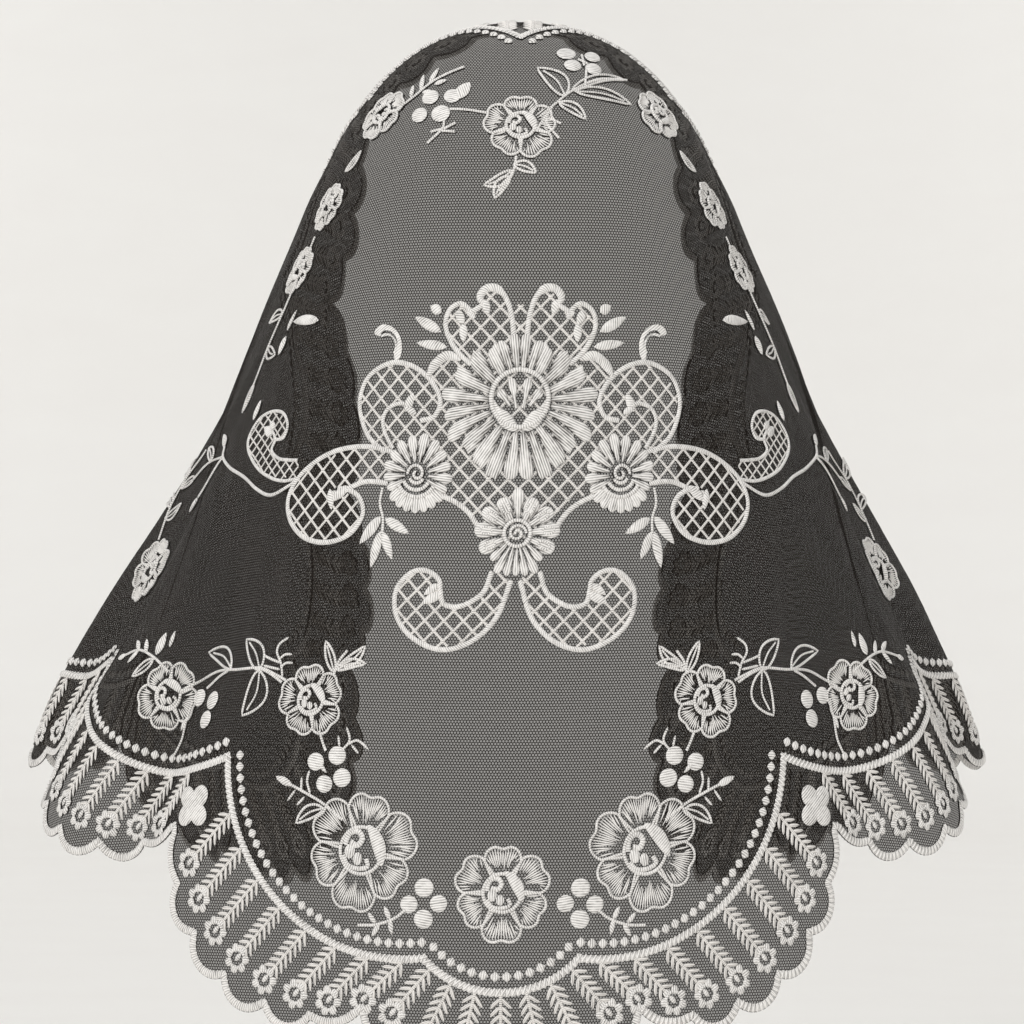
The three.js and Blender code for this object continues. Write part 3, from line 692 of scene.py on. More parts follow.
def lay_on_cloth(drawn, name, material, replaced=()):
    """Bends a board or a flat mesh to the cloth, and makes it a piece of the veil."""
    mesh = drawn.mesh(name) if isinstance(drawn, Board) else drawn
    add_underside(mesh)
    flat = np.empty(len(mesh.vertices) * 3)
    mesh.vertices.foreach_get("co", flat)
    flat = flat.reshape(-1, 3)
    mesh.vertices.foreach_set("co", drape(flat[:, 0], -flat[:, 1], flat[:, 2]).ravel())
    mesh.materials.clear()
    mesh.materials.append(material)
    mesh.shade_smooth()
    mesh.update()
    piece = stand(name, mesh)
    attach(piece, "root")
    if replaced:
        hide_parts(*replaced)
    print(name + ":", len(mesh.polygons), "faces")


# %% A ribbon of thread: cords, stems, outlines and single strands
PROFILE = np.array([-1, -0.6, 0, 0.6, 1])


def quads(rows, columns):
    """Faces of a grid of points that is laid row by row."""
    k, j = np.meshgrid(np.arange(rows - 1), np.arange(columns - 1), indexing="ij")
    a = (k * columns + j).ravel()
    return np.stack([a, a + columns, a + columns + 1, a + 1], axis=1)


def ribbon(board, path, width, height=0.6, lift=0.35, slant=0.0, closed=False, taper=0.0, running=False):
    """A raised ribbon along a path of flat points. slant turns its stitches, taper narrows its ends.

    Its threads cross it, as satin stitches do. Those of a running stitch follow it.
    """
    path = np.asarray(path, float)
    if closed:
        path = np.vstack([path, path[:1]])
    step = np.gradient(path, axis=0)
    if closed:
        step[0] = step[-1] = path[1] - path[-2]
    side = to_left(unit(step))
    length = np.concatenate([[0], np.cumsum(np.hypot(*np.diff(path, axis=0).T))])
    half = np.full(len(path), width / 2.0)
    if taper:
        end = np.minimum(length, length[-1] - length) / max(taper, 1e-6)
        half *= np.sqrt(np.clip(end, 0.03, 1))
    across = PROFILE[None, :] * half[:, None]
    flat = path[:, None, :] + across[:, :, None] * side[:, None, :]
    rise = lift + height * np.sqrt(1 - PROFILE**2)[None, :] * np.ones((len(path), 1))
    points = np.concatenate([flat, rise[:, :, None]], axis=2).reshape(-1, 3)
    threads = np.stack([length[:, None] + slant * across, across], axis=2).reshape(-1, 2)
    if running:
        threads = threads[:, ::-1] + (0.29, 0)
    board.add(points, threads, quads(len(path), len(PROFILE)))


def flip(line):
    """A line of the cut (across, down) as a line of the drawing board (x, y)."""
    return np.asarray(line) * (1, -1)


# %% [markdown]
# ## The scalloped hem and the border's rib
# Both are raised satin cords: a machine lays one stitch beside the other over a core of thread. Each cord
# is a smooth ribbon with a rounded back, and Geometry Nodes set one small stitch beside the next along it,
# because a stitch that repeats along a line is what that tool does best.


# %% A tree that repeats a small figure along a line
def new_tree(name, sockets):
    """A geometry node tree with a geometry output and the named inputs."""
    tree = bpy.data.node_groups.new(name, "GeometryNodeTree")
    tree.interface.new_socket("Geometry", in_out="OUTPUT", socket_type="NodeSocketGeometry")
    for label, kind in [("Geometry", "NodeSocketGeometry"), *sockets]:
        tree.interface.new_socket(label, in_out="INPUT", socket_type=kind)
    return tree, tree.nodes.new("NodeGroupInput"), tree.nodes.new("NodeGroupOutput")


def set_figures(tree, given, result, points, rotation):
    """Ends a tree: it sets the figure at the points, makes it real and gives it its finish."""
    figure = add(tree, "GeometryNodeObjectInfo", {"Object": given.outputs["Figure"]})
    wanted = {"Points": points, "Instance": figure.outputs["Geometry"], "Rotation": rotation}
    placed = add(tree, "GeometryNodeInstanceOnPoints", wanted)
    real = add(tree, "GeometryNodeRealizeInstances", {0: placed.outputs[0]})
    last = {"Geometry": real.outputs[0], "Material": given.outputs["Finish"]}
    finished = add(tree, "GeometryNodeSetMaterial", last)
    tree.links.new(finished.outputs[0], result.inputs[0])


FIGURE = [("Figure", "NodeSocketObject"), ("Finish", "NodeSocketMaterial")]
line_tree, given, result = new_tree(
    "repeat_along_line", [*FIGURE, ("Spacing", "NodeSocketFloat"), ("Turn", "NodeSocketFloat")]
)
curve = add(line_tree, "GeometryNodeMeshToCurve", {"Mesh": given.outputs["Geometry"]})
spaced = {"Curve": curve.outputs[0], "Length": given.outputs["Spacing"]}
beads = add(line_tree, "GeometryNodeResampleCurve", spaced, mode="LENGTH")
tangent = add(line_tree, "GeometryNodeInputTangent")
ahead = {"Vector": tangent.outputs[0]}
aligned = add(line_tree, "FunctionNodeAlignRotationToVector", ahead, axis="X", pivot_axis="Z")
slant = add(line_tree, "ShaderNodeCombineXYZ", {"Z": given.outputs["Turn"]})
slanted = {"Rotation": aligned.outputs[0], "Rotate By": slant.outputs[0]}
turned = add(line_tree, "FunctionNodeRotateRotation", slanted, rotation_space="LOCAL")
set_figures(line_tree, given, result, beads.outputs[0], turned.outputs[0])

# %% A tree that sets a small figure at each of a few points, turned by the point
point_tree, given, result = new_tree("set_at_points", FIGURE)
turn = add(point_tree, "GeometryNodeInputNamedAttribute", {"Name": "turn"}, data_type="FLOAT")
spin = add(point_tree, "ShaderNodeCombineXYZ", {"Z": turn.outputs[0]})
set_figures(point_tree, given, result, given.outputs["Geometry"], spin.outputs[0])
print("Trees:", line_tree.name, "and", point_tree.name)


# %% Running a tree on a flat base mesh
def grow(tree, base, figure_mesh, finish, **values):
    """The plain mesh that a tree grows from a base mesh and a small figure."""
    figure, seed = stand("figure", figure_mesh), stand("seed", base)
    modifier = seed.modifiers.new("grow", "NODES")
    modifier.node_group = tree
    given = {"Figure": figure, "Finish": finish, **values}
    for item in tree.interface.items_tree:
        if item.in_out == "INPUT" and item.name in given:
            modifier[item.identifier] = given[item.name]
    bpy.context.view_layer.update()
    graph = bpy.context.evaluated_depsgraph_get()
    grown = bpy.data.meshes.new_from_object(seed.evaluated_get(graph))
    seed.modifiers.remove(modifier)
    for o in (figure, seed):
        bpy.data.objects.remove(o)
    return grown


def line_mesh(lines, closed=False):
    """Flat lines as a mesh of edges."""
    made = bpy.data.meshes.new("flat_lines")
    points, edges, start = [], [], 0
    for line in lines:
        n = len(line)
        points += [(x, y, 0) for x, y in line]
        edges += [(start + k, start + k + 1) for k in range(n - 1)]
        if closed:
            edges.append((start + n - 1, start))
        start += n
    made.from_pydata(points, edges, [])
    return made


def point_mesh(points, turns):
    """Flat points, each with its turn in radians."""
    made = bpy.data.meshes.new("flat_points")
    made.from_pydata([(x, y, 0) for x, y in points], [], [])
    made.attributes.new("turn", "FLOAT", "POINT").data.foreach_set("value", np.asarray(turns, float))
    return made


# %% One stitch and one bead, each with a rounded back
def dome(length, width, height, lift, columns=5, rows=4, power=2.0):
    """A small raised pad: a stitch when long, a bead when round. Its threads run along x.

    power shapes its outline: 2 is an ellipse, and 1 would be a diamond.
    """
    board = Board()
    s, t = np.meshgrid(np.linspace(-1, 1, columns), np.linspace(-1, 1, rows), indexing="ij")
    x, y = s * np.sqrt(1 - t * t / 2), t * np.sqrt(1 - s * s / 2)
    way = np.arctan2(y, x)
    reach = (np.abs(np.cos(way)) ** power + np.abs(np.sin(way)) ** power) ** (-1 / power)
    x, y = x * reach, y * reach
    edge = np.clip(1 - np.maximum(np.abs(s), np.abs(t)) ** 2.2, 0, 1)
    points = np.stack([x * length / 2, y * width / 2, lift + height * np.sqrt(edge)], axis=2).reshape(-1, 3)
    threads = np.stack([y * width / 2, x * length / 2], axis=2).reshape(-1, 2)
    board.add(points, threads, quads(columns, rows))
    return board.mesh("pad")


def along_lines(lines, figure, spacing, slant, closed=False):
    """The same figure set all along some lines of the cut, at an angle in degrees to each line."""
    base = line_mesh([flip(line) for line in lines], closed)
    return grow(line_tree, base, figure, SATIN, Spacing=spacing, Turn=math.radians(slant))


# %% Hem cord: a core, and its stitches side by side
HEM_STITCH_PITCH = 2.3
HEM_STITCH_SLANT = 80
hem_middle = inset(HEM_LINE, CORD_WIDTH / 2)
hem_core = Board()
ribbon(hem_core, flip(hem_middle), CORD_WIDTH * 0.86, 0.75, 0.3, closed=True)
lay_on_cloth(hem_core, "hem_cord_core", SATIN, ["hem_cord"])
hem_stitch = dome(CORD_WIDTH, HEM_STITCH_PITCH * 1.05, 0.85, 0.45)
hem_stitches = along_lines([hem_middle], hem_stitch, HEM_STITCH_PITCH, HEM_STITCH_SLANT, True)
lay_on_cloth(hem_stitches, "hem_cord_stitches", SATIN, ["hem_cord"])

# %% Border rib
RIB_STITCH_PITCH = 2.4
RIB_STITCH_SLANT = 58
rib_core = Board()
ribbon(rib_core, flip(RIB_LINE), RIB_WIDTH * 0.8, 0.8, 0.3, closed=True)
lay_on_cloth(rib_core, "border_rib_core", SATIN, ["border_rib"])
rib_stitch = dome(RIB_WIDTH * 1.15, RIB_STITCH_PITCH, 0.9, 0.55)
rib_stitches = along_lines(RIB_LINES, rib_stitch, RIB_STITCH_PITCH, RIB_STITCH_SLANT)
lay_on_cloth(rib_stitches, "border_rib_stitches", SATIN, ["border_rib"])

# %% Beads of satin stitch inside the rib
BEAD_SIZE = 4.6
BEAD_POWER = 1.3
BEAD_PITCH = 5.3
BEAD_INSET = 7.0
BEAD_ROOM = BEAD_INSET - 0.8


def inner_lines(distance, trim):
    """Each rib lobe moved inwards and cut back where two lobes meet."""
    lines = []
    for line in RIB_LINES:
        moved = line - distance * to_left(unit(np.gradient(line, axis=0)))
        others = np.vstack([other for other in RIB_LINES if other is not line])
        gap = np.hypot(*(moved[:, None, :] - others[None, :, :]).transpose(2, 0, 1)).min(axis=1)
        lines.append(moved[gap > trim])
    return lines


bead = dome(BEAD_SIZE, BEAD_SIZE, 1.1, 0.35, columns=7, rows=7, power=BEAD_POWER)
lay_on_cloth(along_lines(inner_lines(BEAD_INSET, BEAD_ROOM), bead, BEAD_PITCH, 90), "border_beads", SATIN)

# %% [markdown]
# ## Ferns and ring flowers in the border
# A row of ferns stands on the rib like rays, and each ends in a small ring flower near the hem. They are
# short next to a cusp and long in the middle of a lobe. Their places come from the rib and the hem, so the
# row fits each lobe. One barb and one ring flower are drawn, and a tree sets them at all the places.

# %% Places of the ferns, all round the border
FERN_PITCH = 17.5
FLOWER_SIZE = 13.6
FLOWER_TO_HEM = 13.5
BARB_PITCH = 3.6
BARB_LENGTH = 6.7
BARB_WIDTH = 1.75
BARB_SLANT = 46
STEM_WIDTH = 1.5
CLOVER_PLACE = (161.2, 430.3)
CLOVER_ROOM = 13.0
STEM_POINTS = 18
FIRST_BARB = 2.4
BARBS_LEAVE = 2.6
SHORTEST_FERN = 6


def toward(angle):
    """The flat direction of an angle in radians."""
    return np.array([math.cos(angle), math.sin(angle)])


fern_stems = Board()
barb_points, barb_turns = [], []
flower_points, flower_turns = [], []
for n, (rib, next_rib, rib_rise, hem, next_hem, hem_rise) in enumerate(LOBES):
    middle_length = (arc_length(rib, next_rib, rib_rise) + arc_length(hem, next_hem, hem_rise)) / 2
    count = max(3, round(middle_length / FERN_PITCH))
    ribs = arc_points(rib, next_rib, rib_rise, 2 * count)[1::2]
    hems = arc_points(hem, next_hem, hem_rise, 2 * count)[1::2]
    for foot, end in zip(flip(ribs), flip(hems)):
        way = (end - foot) / np.hypot(*(end - foot))
        heading = math.atan2(way[1], way[0])
        flower = end - way * FLOWER_TO_HEM
        length = np.hypot(*(flower - foot)) - FLOWER_SIZE * 0.46
        from_clover = np.abs([foot + way * length * s for s in (0.3, 0.7, 1.2)]) - CLOVER_PLACE
        if length < SHORTEST_FERN or np.hypot(*from_clover.T).min() < CLOVER_ROOM:
            continue
        stem = [foot + way * length * s for s in np.linspace(0, 1, STEM_POINTS)]
        ribbon(fern_stems, stem, STEM_WIDTH, 0.55, 0.5)
        for k in range(int((length - BARBS_LEAVE) / BARB_PITCH) + 1):
            for side in (-1, 1):
                lean = heading + side * math.radians(BARB_SLANT)
                root = foot + way * (FIRST_BARB + k * BARB_PITCH)
                barb_points.append(root + toward(lean) * BARB_LENGTH / 2)
                barb_turns.append(lean)
        flower_points.append(flower)
        flower_turns.append(heading)
lay_on_cloth(fern_stems, "fern_stems", RUNNING)
barb = dome(BARB_LENGTH, BARB_WIDTH, 0.7, 0.4)
barbs = grow(point_tree, point_mesh(barb_points, barb_turns), barb, RUNNING)
lay_on_cloth(barbs, "fern_barbs", RUNNING)
print(len(flower_points), "ferns with", len(barb_points), "barbs")


# %% Filled satin pads of any outline, and smooth lines through a few points
def pad(board, outline, height=0.8, angle=0.0, lift=0.4, rings=(1, 0.9, 0.72, 0.4, 0.0), sparse_and_shade=None):
    """Satin stitch that fills a closed outline.

    Its threads run along angle. The last argument darkens them: how sparse they are, with painted shade
    where a petal adds it.
    """
    outline = np.asarray(outline, float)
    middle = outline.mean(axis=0)
    n = len(outline)
    flat = np.vstack([middle + (outline - middle) * max(s, 1e-3) for s in rings])
    levels = np.repeat([lift + height * math.sqrt(1 - s**2.6) for s in rings], n)
    along = np.array([math.cos(angle), math.sin(angle)])
    across = np.array([-along[1], along[0]])
    threads = np.stack([flat @ across, flat @ along], axis=1)
    faces = []
    for r in range(len(rings) - 1):
        for k in range(n):
            j = (k + 1) % n
            faces.append((r * n + k, r * n + j, (r + 1) * n + j, (r + 1) * n + k))
    area = np.sum(outline[:, 0] * np.roll(outline[:, 1], -1) - outline[:, 1] * np.roll(outline[:, 0], -1))
    faces = faces if area > 0 else [f[::-1] for f in faces]
    board.add(np.column_stack([flat, levels]), threads, faces, sparse_and_shade(flat) if sparse_and_shade else 0.0)


def smooth_line(points, pieces=6, closed=False):
    """A smooth line through a few points."""
    p = np.asarray(points, float)
    ends = (p[-1:], p[:1], p[1:2]) if closed else (2 * p[:1] - p[1:2], 2 * p[-1:] - p[-2:-1])
    q = np.vstack([ends[0], p, *ends[1:]])
    t = np.linspace(0, 1, pieces, endpoint=False)[:, None]
    spans = []
    for a, b, c, d in zip(q, q[1:], q[2:], q[3:]):
        bend, twist = 2 * a - 5 * b + 4 * c - d, 3 * b - a - 3 * c + d
        spans.append(0.5 * (2 * b + (c - a) * t + bend * t**2 + twist * t**3))
    return np.vstack(spans if closed else [*spans, p[-1:]])


def circle(middle, radius, pieces=24, stretch=1.0, turn=0.0):
    """Closed outline of a circle, or of an oval where stretch isn't 1."""
    a = 2 * math.pi * np.arange(pieces) / pieces
    x, y = radius * np.cos(a) * stretch, radius * np.sin(a)
    c, s = math.cos(turn), math.sin(turn)
    return np.asarray(middle) + np.stack([x * c - y * s, x * s + y * c], axis=1)


def leaf(base, tip, width, bend=0.0, pieces=9):
    """Closed outline of a pointed leaf. bend moves its middle sideways, as a share of its length."""
    base, tip = np.asarray(base, float), np.asarray(tip, float)
    way = tip - base
    side = np.array([-way[1], way[0]])
    t = np.linspace(0, 1, pieces)[:, None]
    spine = base + way * t + side * bend * 4 * t * (1 - t)
    half = width / 2 * np.sin(math.pi * t**0.85) ** 0.75 / np.hypot(*way)
    return np.vstack([spine + side * half, (spine - side * half)[-2:0:-1]])


def polar(radius, angle):
    """Flat points at some radii and angles in radians."""
    return np.stack([radius * np.cos(angle), radius * np.sin(angle)], axis=-1)


def satin_leaf(board, a, b, width, height=0.75, slant=0.9, lift=0.45):
    """A slim leaf closed with slanted satin stitches."""
    a, b = np.asarray(a, float), np.asarray(b, float)
    pad(board, leaf(a, b, width), height, math.atan2(*(b - a)[::-1]) + slant, lift)


def both(points):
    """The two mirror images of a flat figure given as (across, down) from the middle line."""
    line = flip(points)
    return line, line * (-1, 1)


def mirrored(degrees, side):
    """An angle given in degrees on the right half, in radians: side is 1 on the right and -1 on the left."""
    return math.radians(90 + side * (degrees - 90))


# %% The ring flower
FLOWER_LOBES = 7
ring_flower = Board()
for k in range(FLOWER_LOBES):
    a = 2 * math.pi * (k + 0.5) / FLOWER_LOBES
    spot = toward(a) * FLOWER_SIZE * 0.365
    pad(ring_flower, circle(spot, FLOWER_SIZE * 0.155, 8), 0.75, a, 0.45, (1, 0.75, 0))
ribbon(ring_flower, circle((0, 0), FLOWER_SIZE * 0.31, 18), 1.7, 0.8, 0.5, closed=True)
pad(ring_flower, circle((-0.9, 0), 1.25, 10, 1.75), 0.7, math.pi / 2, 0.45, (1, 0.7, 0))
flower_base = point_mesh(flower_points, flower_turns)
flowers = grow(point_tree, flower_base, ring_flower.mesh("ring_flower"), SATIN)
lay_on_cloth(flowers, "ring_flowers", SATIN)

# %% [markdown]
# ## The medallion
# In the middle of the back stands a baroque figure: scrolls with a lattice inside, a great open blossom,
# two rosettes and a small rosette below. Their frames are satin cords, so a few listed points and a
# smooth line through them are enough. The lattice is a true one: straight threads at forty-five degrees,
# cut off where they meet a frame, with a knot at each crossing of the wider lattice.

# %% Frames of the medallion, as (across, down) in millimetres from the middle line
FRAME_WIDTH = 2.4
CREST_LOBE = [(3, 216), (4, 205), (7, 196), (11, 192), (16, 192), (19, 196), (17, 200)]
CREST_JOIN = [(17, 199), (20, 201), (25, 204)]
CREST_OUTER = [(22, 206), (25, 201), (29, 199), (34, 202), (36, 208), (34, 215), (29, 222), (23, 227)]
SHOULDER_CURL = [(45, 233), (41, 227), (35, 223), (28, 225)]
UPPER_FRAME = [
    (66, 268), (76, 260), (81, 250), (82, 242), (79, 234), (73, 229), (64, 226), (55, 227), (47, 231),
    (41, 237), (38, 244), (41, 251), (48, 253),
]
UPPER_HOOK = [(62, 266), (67, 258), (68, 252), (65, 247), (59, 245), (54, 246)]
TENDRIL = [(62, 226), (60, 221), (61, 215), (65, 211), (70, 210), (75, 212)]
SIDE_FRAME = [
    (60, 268), (74, 265), (86, 265), (98, 267), (110, 272), (119, 279), (123, 288), (120, 298), (111, 306),
    (100, 309), (90, 308), (82, 304), (77, 296), (79, 289), (85, 285), (92, 284),
]
SIDE_INNER = [(64, 282), (75, 281), (83, 283), (90, 286), (95, 286)]
COMMA_FRAME = [
    (118, 278), (128, 278), (138, 275), (150, 268), (159, 258), (161, 249), (155, 242), (145, 240),
    (135, 243), (130, 250), (132, 256), (138, 256),
]
COMMA_INNER = [(119, 269), (126, 268), (134, 266), (140, 261), (138, 256)]
COMMA_ROLL = [(138, 256), (141, 252), (145, 249)]
COMMA_STEM = [(192, 242), (187, 251), (176, 261), (161, 270), (148, 279), (136, 284), (124, 281), (118, 278)]
COMMA_BRANCH = [(187, 251), (198, 254), (212, 262)]
COMMA_WIDTH = 1.7
BODY_EDGE = [(38, 287), (30, 290), (23, 295), (17, 303)]
LOWER_FRAME = [
    (11, 322), (15, 332), (25, 338), (33, 337), (35, 331), (36, 326), (42, 322), (50, 323), (57, 331),
    (56, 343), (47, 353), (33, 358), (19, 354), (8, 343), (2, 326),
]

# %% Stitching the frames
medallion = Board()
OPEN_FRAMES = [
    CREST_LOBE, CREST_JOIN, CREST_OUTER, UPPER_FRAME, SIDE_FRAME, SIDE_INNER, BODY_EDGE, LOWER_FRAME,
]
COMMA_LINES = [COMMA_FRAME, COMMA_INNER, COMMA_ROLL, COMMA_STEM, COMMA_BRANCH]
# Columns: the lines, width, height, lift, slant and taper of their cord.
CORDS = [
    (OPEN_FRAMES, FRAME_WIDTH, 0.75, 0.6, 0.6, 0),
    (COMMA_LINES, COMMA_WIDTH, 0.65, 0.6, 0.6, 0),
    ([UPPER_HOOK], 2.0, 0.8, 0.8, 0.6, 0),
    ([SHOULDER_CURL], 4.6, 1.0, 0.6, 0.5, 6),
    ([CREST_LOBE[2:]], 3.8, 0.9, 0.65, 0.5, 5),
]
for lines, width, height, lift, slant, taper in CORDS:
    for points in lines:
        for line in both(points):
            ribbon(medallion, smooth_line(line), width, height, lift, slant=slant, taper=taper)

# Small satin leaves that sit at the curls, and buds beside the crest: base, tip and width.
CURL_LEAVES = [
    ((17, 197), (15, 204), 4.0), ((30, 202), (27, 209), 4.4), ((27, 208), (27, 217), 4.2),
    ((56, 249), (52, 240), 4.6), ((50, 250), (57, 246), 3.4), ((86, 283), (96, 290), 4.8),
    ((97, 284), (95, 294), 4.0), ((38, 203), (44, 200), 5.0), ((38, 212), (52, 205), 5.2),
    ((35, 219), (51, 217), 4.6), ((34, 332), (44, 337), 4.6), ((36, 328), (43, 333), 3.8),
    ((142, 253), (149, 247), 5.0), ((140, 250), (145, 245), 3.4), ((114, 200), (138, 193), 5.4),
    ((143, 199), (148, 208), 5.0), ((161, 240), (157, 230), 4.2), ((143, 196), (136, 187), 2.4),
    ((212, 262), (219, 268), 3.4), ((192, 242), (196, 232), 4.2),
]
for base, tip, width in CURL_LEAVES:
    for a, b in both([base, tip]):
        satin_leaf(medallion, a, b, width, 0.9, 1.1, 0.7)
# The tendrils that rise from the scrolls swell towards their tips.
for line in both(TENDRIL):
    path = smooth_line(line)
    swell = np.linspace(0.3, 1, len(path))
    side = to_left(unit(np.gradient(path, axis=0)))
    half = 2.3 * (swell**1.6 * np.clip((1 - swell) * 9, 0, 1) ** 0.5)[:, None] + 0.35
    pad(medallion, np.vstack([path + side * half, (path - side * half)[::-1]]), 0.7, 0.6, 0.4, (1, 0.8, 0.6))
SCROLLS = ("crest_scroll", "upper_scroll", "side_scroll", "lower_scroll")
lay_on_cloth(medallion, "medallion_frames", SATIN, [s + e for s in SCROLLS for e in ("_left", "_right")])

# %% The lattice inside the frames
LATTICE_MIDDLE = np.array([0, 275])
LATTICE_REACH = 200
LATTICE_STEP = 1.6


def lattice(board, fields, pitch, thread):
    """Threads crossed on the diagonal inside some mirrored fields. Returns the places where they cross."""
    reach = math.ceil(LATTICE_REACH / pitch)

    def held(points):
        folded = np.abs(points * (1, 0)) + points * (0, 1)
        return np.any([inside(folded, field) for field in fields], axis=0)

    along = np.arange(-2 * LATTICE_REACH, 2 * LATTICE_REACH + 1, LATTICE_STEP) / 2
    for slope in (-1, 1):
        for k in range(-reach, reach + 1):
            start = k * pitch / 2
            points = LATTICE_MIDDLE + np.stack([start + along, slope * (start - along)], axis=1)
            kept = held(points)
            bounds = np.concatenate([[0], np.flatnonzero(np.diff(kept.astype(int))) + 1, [len(kept)]])
            for a, b in zip(bounds[:-1], bounds[1:]):
                if kept[a] and b - a > 3:
                    ribbon(board, flip(points[a:b][:: max(1, (b - a) // 12)]), thread, 0.4, 0.35)
    span = range(-reach, reach + 1)
    places = np.array([(k, j) for k in span for j in span if (k + j) % 2 == 0])
    crossings = LATTICE_MIDDLE + places * pitch / 2
    return flip(crossings[held(crossings)])


LATTICE_PITCH, LATTICE_THREAD = 9.3, 1.25
FINE_PITCH, FINE_THREAD = 6.4, 0.9
CREST_FIELD = [(0, 197), *CREST_LOBE[1:], (22, 203), *CREST_OUTER[1:], (16, 234), (0, 234)]
BODY_FIELD = [(0, 226), (23, 227), (35, 224), (44, 232), (38, 244), (44, 262), *BODY_EDGE, (0, 308)]
UPPER_FIELD = [*UPPER_FRAME[:11], (40, 262), (52, 270)]
SIDE_FIELD = [*SIDE_FRAME, *SIDE_INNER[::-1]]
OPEN_FIELDS = (CREST_FIELD, BODY_FIELD, UPPER_FIELD, SIDE_FIELD, LOWER_FRAME)
FIELDS = [smooth_line(field, 4, closed=True) for field in OPEN_FIELDS]
COMMA_FIELD = smooth_line([*COMMA_FRAME[:-1], *COMMA_INNER[::-1]], 4, closed=True)
lattice_threads = Board()
knots = lattice(lattice_threads, FIELDS, LATTICE_PITCH, LATTICE_THREAD)
lattice(lattice_threads, [COMMA_FIELD], FINE_PITCH, FINE_THREAD)
lay_on_cloth(lattice_threads, "medallion_lattice", RUNNING)
knot_mesh = point_mesh(knots, np.zeros(len(knots)))
knot_pads = grow(point_tree, knot_mesh, dome(2.1, 2.1, 0.6, 0.5, 4, 4), RUNNING)
lay_on_cloth(knot_pads, "lattice_knots", RUNNING)

# %% [markdown]
# ## The great blossom and the rosettes
# The petals of the great blossom are solid satin with a slit between neighbours, darkened near the heart
# with painted shade, and their ends are lobed. Each petal is an outline in polar form round the blossom's
# middle.
# A ring stands in the middle, with a fan of four pods over a cup inside it. The rosettes are the same idea
# with fewer petals.


# %% Petals with lobed ends
def petal(board, middle, angle, inner, outer, half_angle, lobes, curl, waist, height, lift, grey=0.0):
    """A satin petal from inner to outer radius. Its threads are darker towards the heart: partly sparser
    thread, partly painted shade along its sides there, where the slits between petals lie.

    waist is its width at the heart, as a share. curl turns its end sideways. grey darkens the whole petal,
    as painted shade for how its thread direction catches the light.
    """
    t = np.linspace(-1, 1, 4 * lobes + 5)
    blunt = min(1.6 * half_angle, 0.3)
    notch = 0.05 * min(lobes - 1, 1) * np.abs(np.cos(lobes * math.pi / 2 * (t + 1)))
    rim = outer * (1 - blunt * (1 - np.sqrt(1 - 0.94 * t * t)) - notch)
    side = np.linspace(inner, rim[0], 5)[:-1]
    radii = np.concatenate([side, rim, side[::-1]])
    spread = np.interp(radii, [inner, inner + 0.68 * (outer - inner), outer], [waist, 1.03, 1.0])
    turns = np.concatenate([-spread[:4], t, spread[-4:]]) * half_angle
    turns = angle + turns + curl * ((radii - inner) / (outer - inner)) ** 2
    middle = np.asarray(middle)
    outline = middle + polar(radii, turns)

    def sparse_and_shade(flat):
        reach = (np.hypot(*(flat - middle).T) - inner) / (outer - inner)
        way = np.arctan2(flat[:, 1] - middle[1], flat[:, 0] - middle[0]) - angle - curl * reach**2
        off_line = np.abs((way + math.pi) % (2 * math.pi) - math.pi) / half_angle
        near_heart = np.sqrt(np.clip(1 - reach / 0.7, 0, 1))
        # Sparser thread near the heart, and painted shade along the petal's sides there for the dark slits
        # between petals.
        return grey + near_heart * (0.12 + 0.75 * smoothstep(off_line, 0.5 * waist, 0.95))

    pad(board, outline[::-1], height, angle + curl / 2, lift, (1, 0.92, 0.76, 0.42, 0), sparse_and_shade)


# %% The great blossom: broad closed petals, with narrow slits between them near the heart
# Columns: angle in degrees, outer radius, half width in degrees, lobes and curl, on the right half.
BLOSSOM_PETALS = [
    (84.8, 31.5, 5.2, 1, 0), (73.5, 29.5, 5.6, 1, -0.04), (58, 30, 10, 3, 0.16),
    (38, 32.5, 9.8, 3, 0.16), (20, 35, 8.4, 2, 0.1), (4.5, 37.5, 6.4, 1, 0.02),
    (-8, 36.5, 5.8, 1, -0.06), (-20.5, 38, 6.4, 1, -0.12), (-36, 35, 8.6, 2, -0.1),
    (-53.5, 36.5, 8.8, 2, -0.06), (-69.5, 38.5, 7.4, 2, 0), (-83.8, 36, 6.4, 1, 0),
]
BLOSSOM_MIDDLE = np.array([0, -244.0])
BLOSSOM_HEART = 14.4
RING_RADIUS = 13.2
CUP_SIDE = [(12.4, -0.5), (9, -4.4), (5, -6.6), (1.4, -11.6), (1.2, -14.6), (5, -14.8), (10, -10.8)]
# Columns: where a pod starts and ends from the ring's middle, and its width.
PODS = [((1.6, -4.6), (4.0, 9.6), 4.0), ((4.4, -3.4), (9.8, 3.8), 4.4)]
blossom = Board()
for k, (angle, outer, half_width, lobes, curl) in enumerate(BLOSSOM_PETALS):
    for side in (1, -1):
        turned = mirrored(angle, side)
        rise = 0.7 + 0.45 * (k % 2)
        # Painted shade that differs from petal to petal, for how each petal's thread direction catches the
        # light.
        grey = 0.1 + 0.1 * math.sin(2.6 * k)
        half = math.radians(half_width)
        form = (lobes, side * curl, 0.6, 1.3, rise, grey)
        petal(blossom, BLOSSOM_MIDDLE, turned, BLOSSOM_HEART, outer, half, *form)
RING_MIDDLE = BLOSSOM_MIDDLE + [0, 1.5]
ribbon(blossom, circle(RING_MIDDLE, RING_RADIUS, 40), 2.2, 0.9, 1.7, closed=True)
for side in (-1, 1):
    outline = RING_MIDDLE + smooth_line(CUP_SIDE, 4, closed=True) * (side, 1)
    pad(blossom, outline, 1.0, math.pi / 2 + side * 1.2, 1.4)
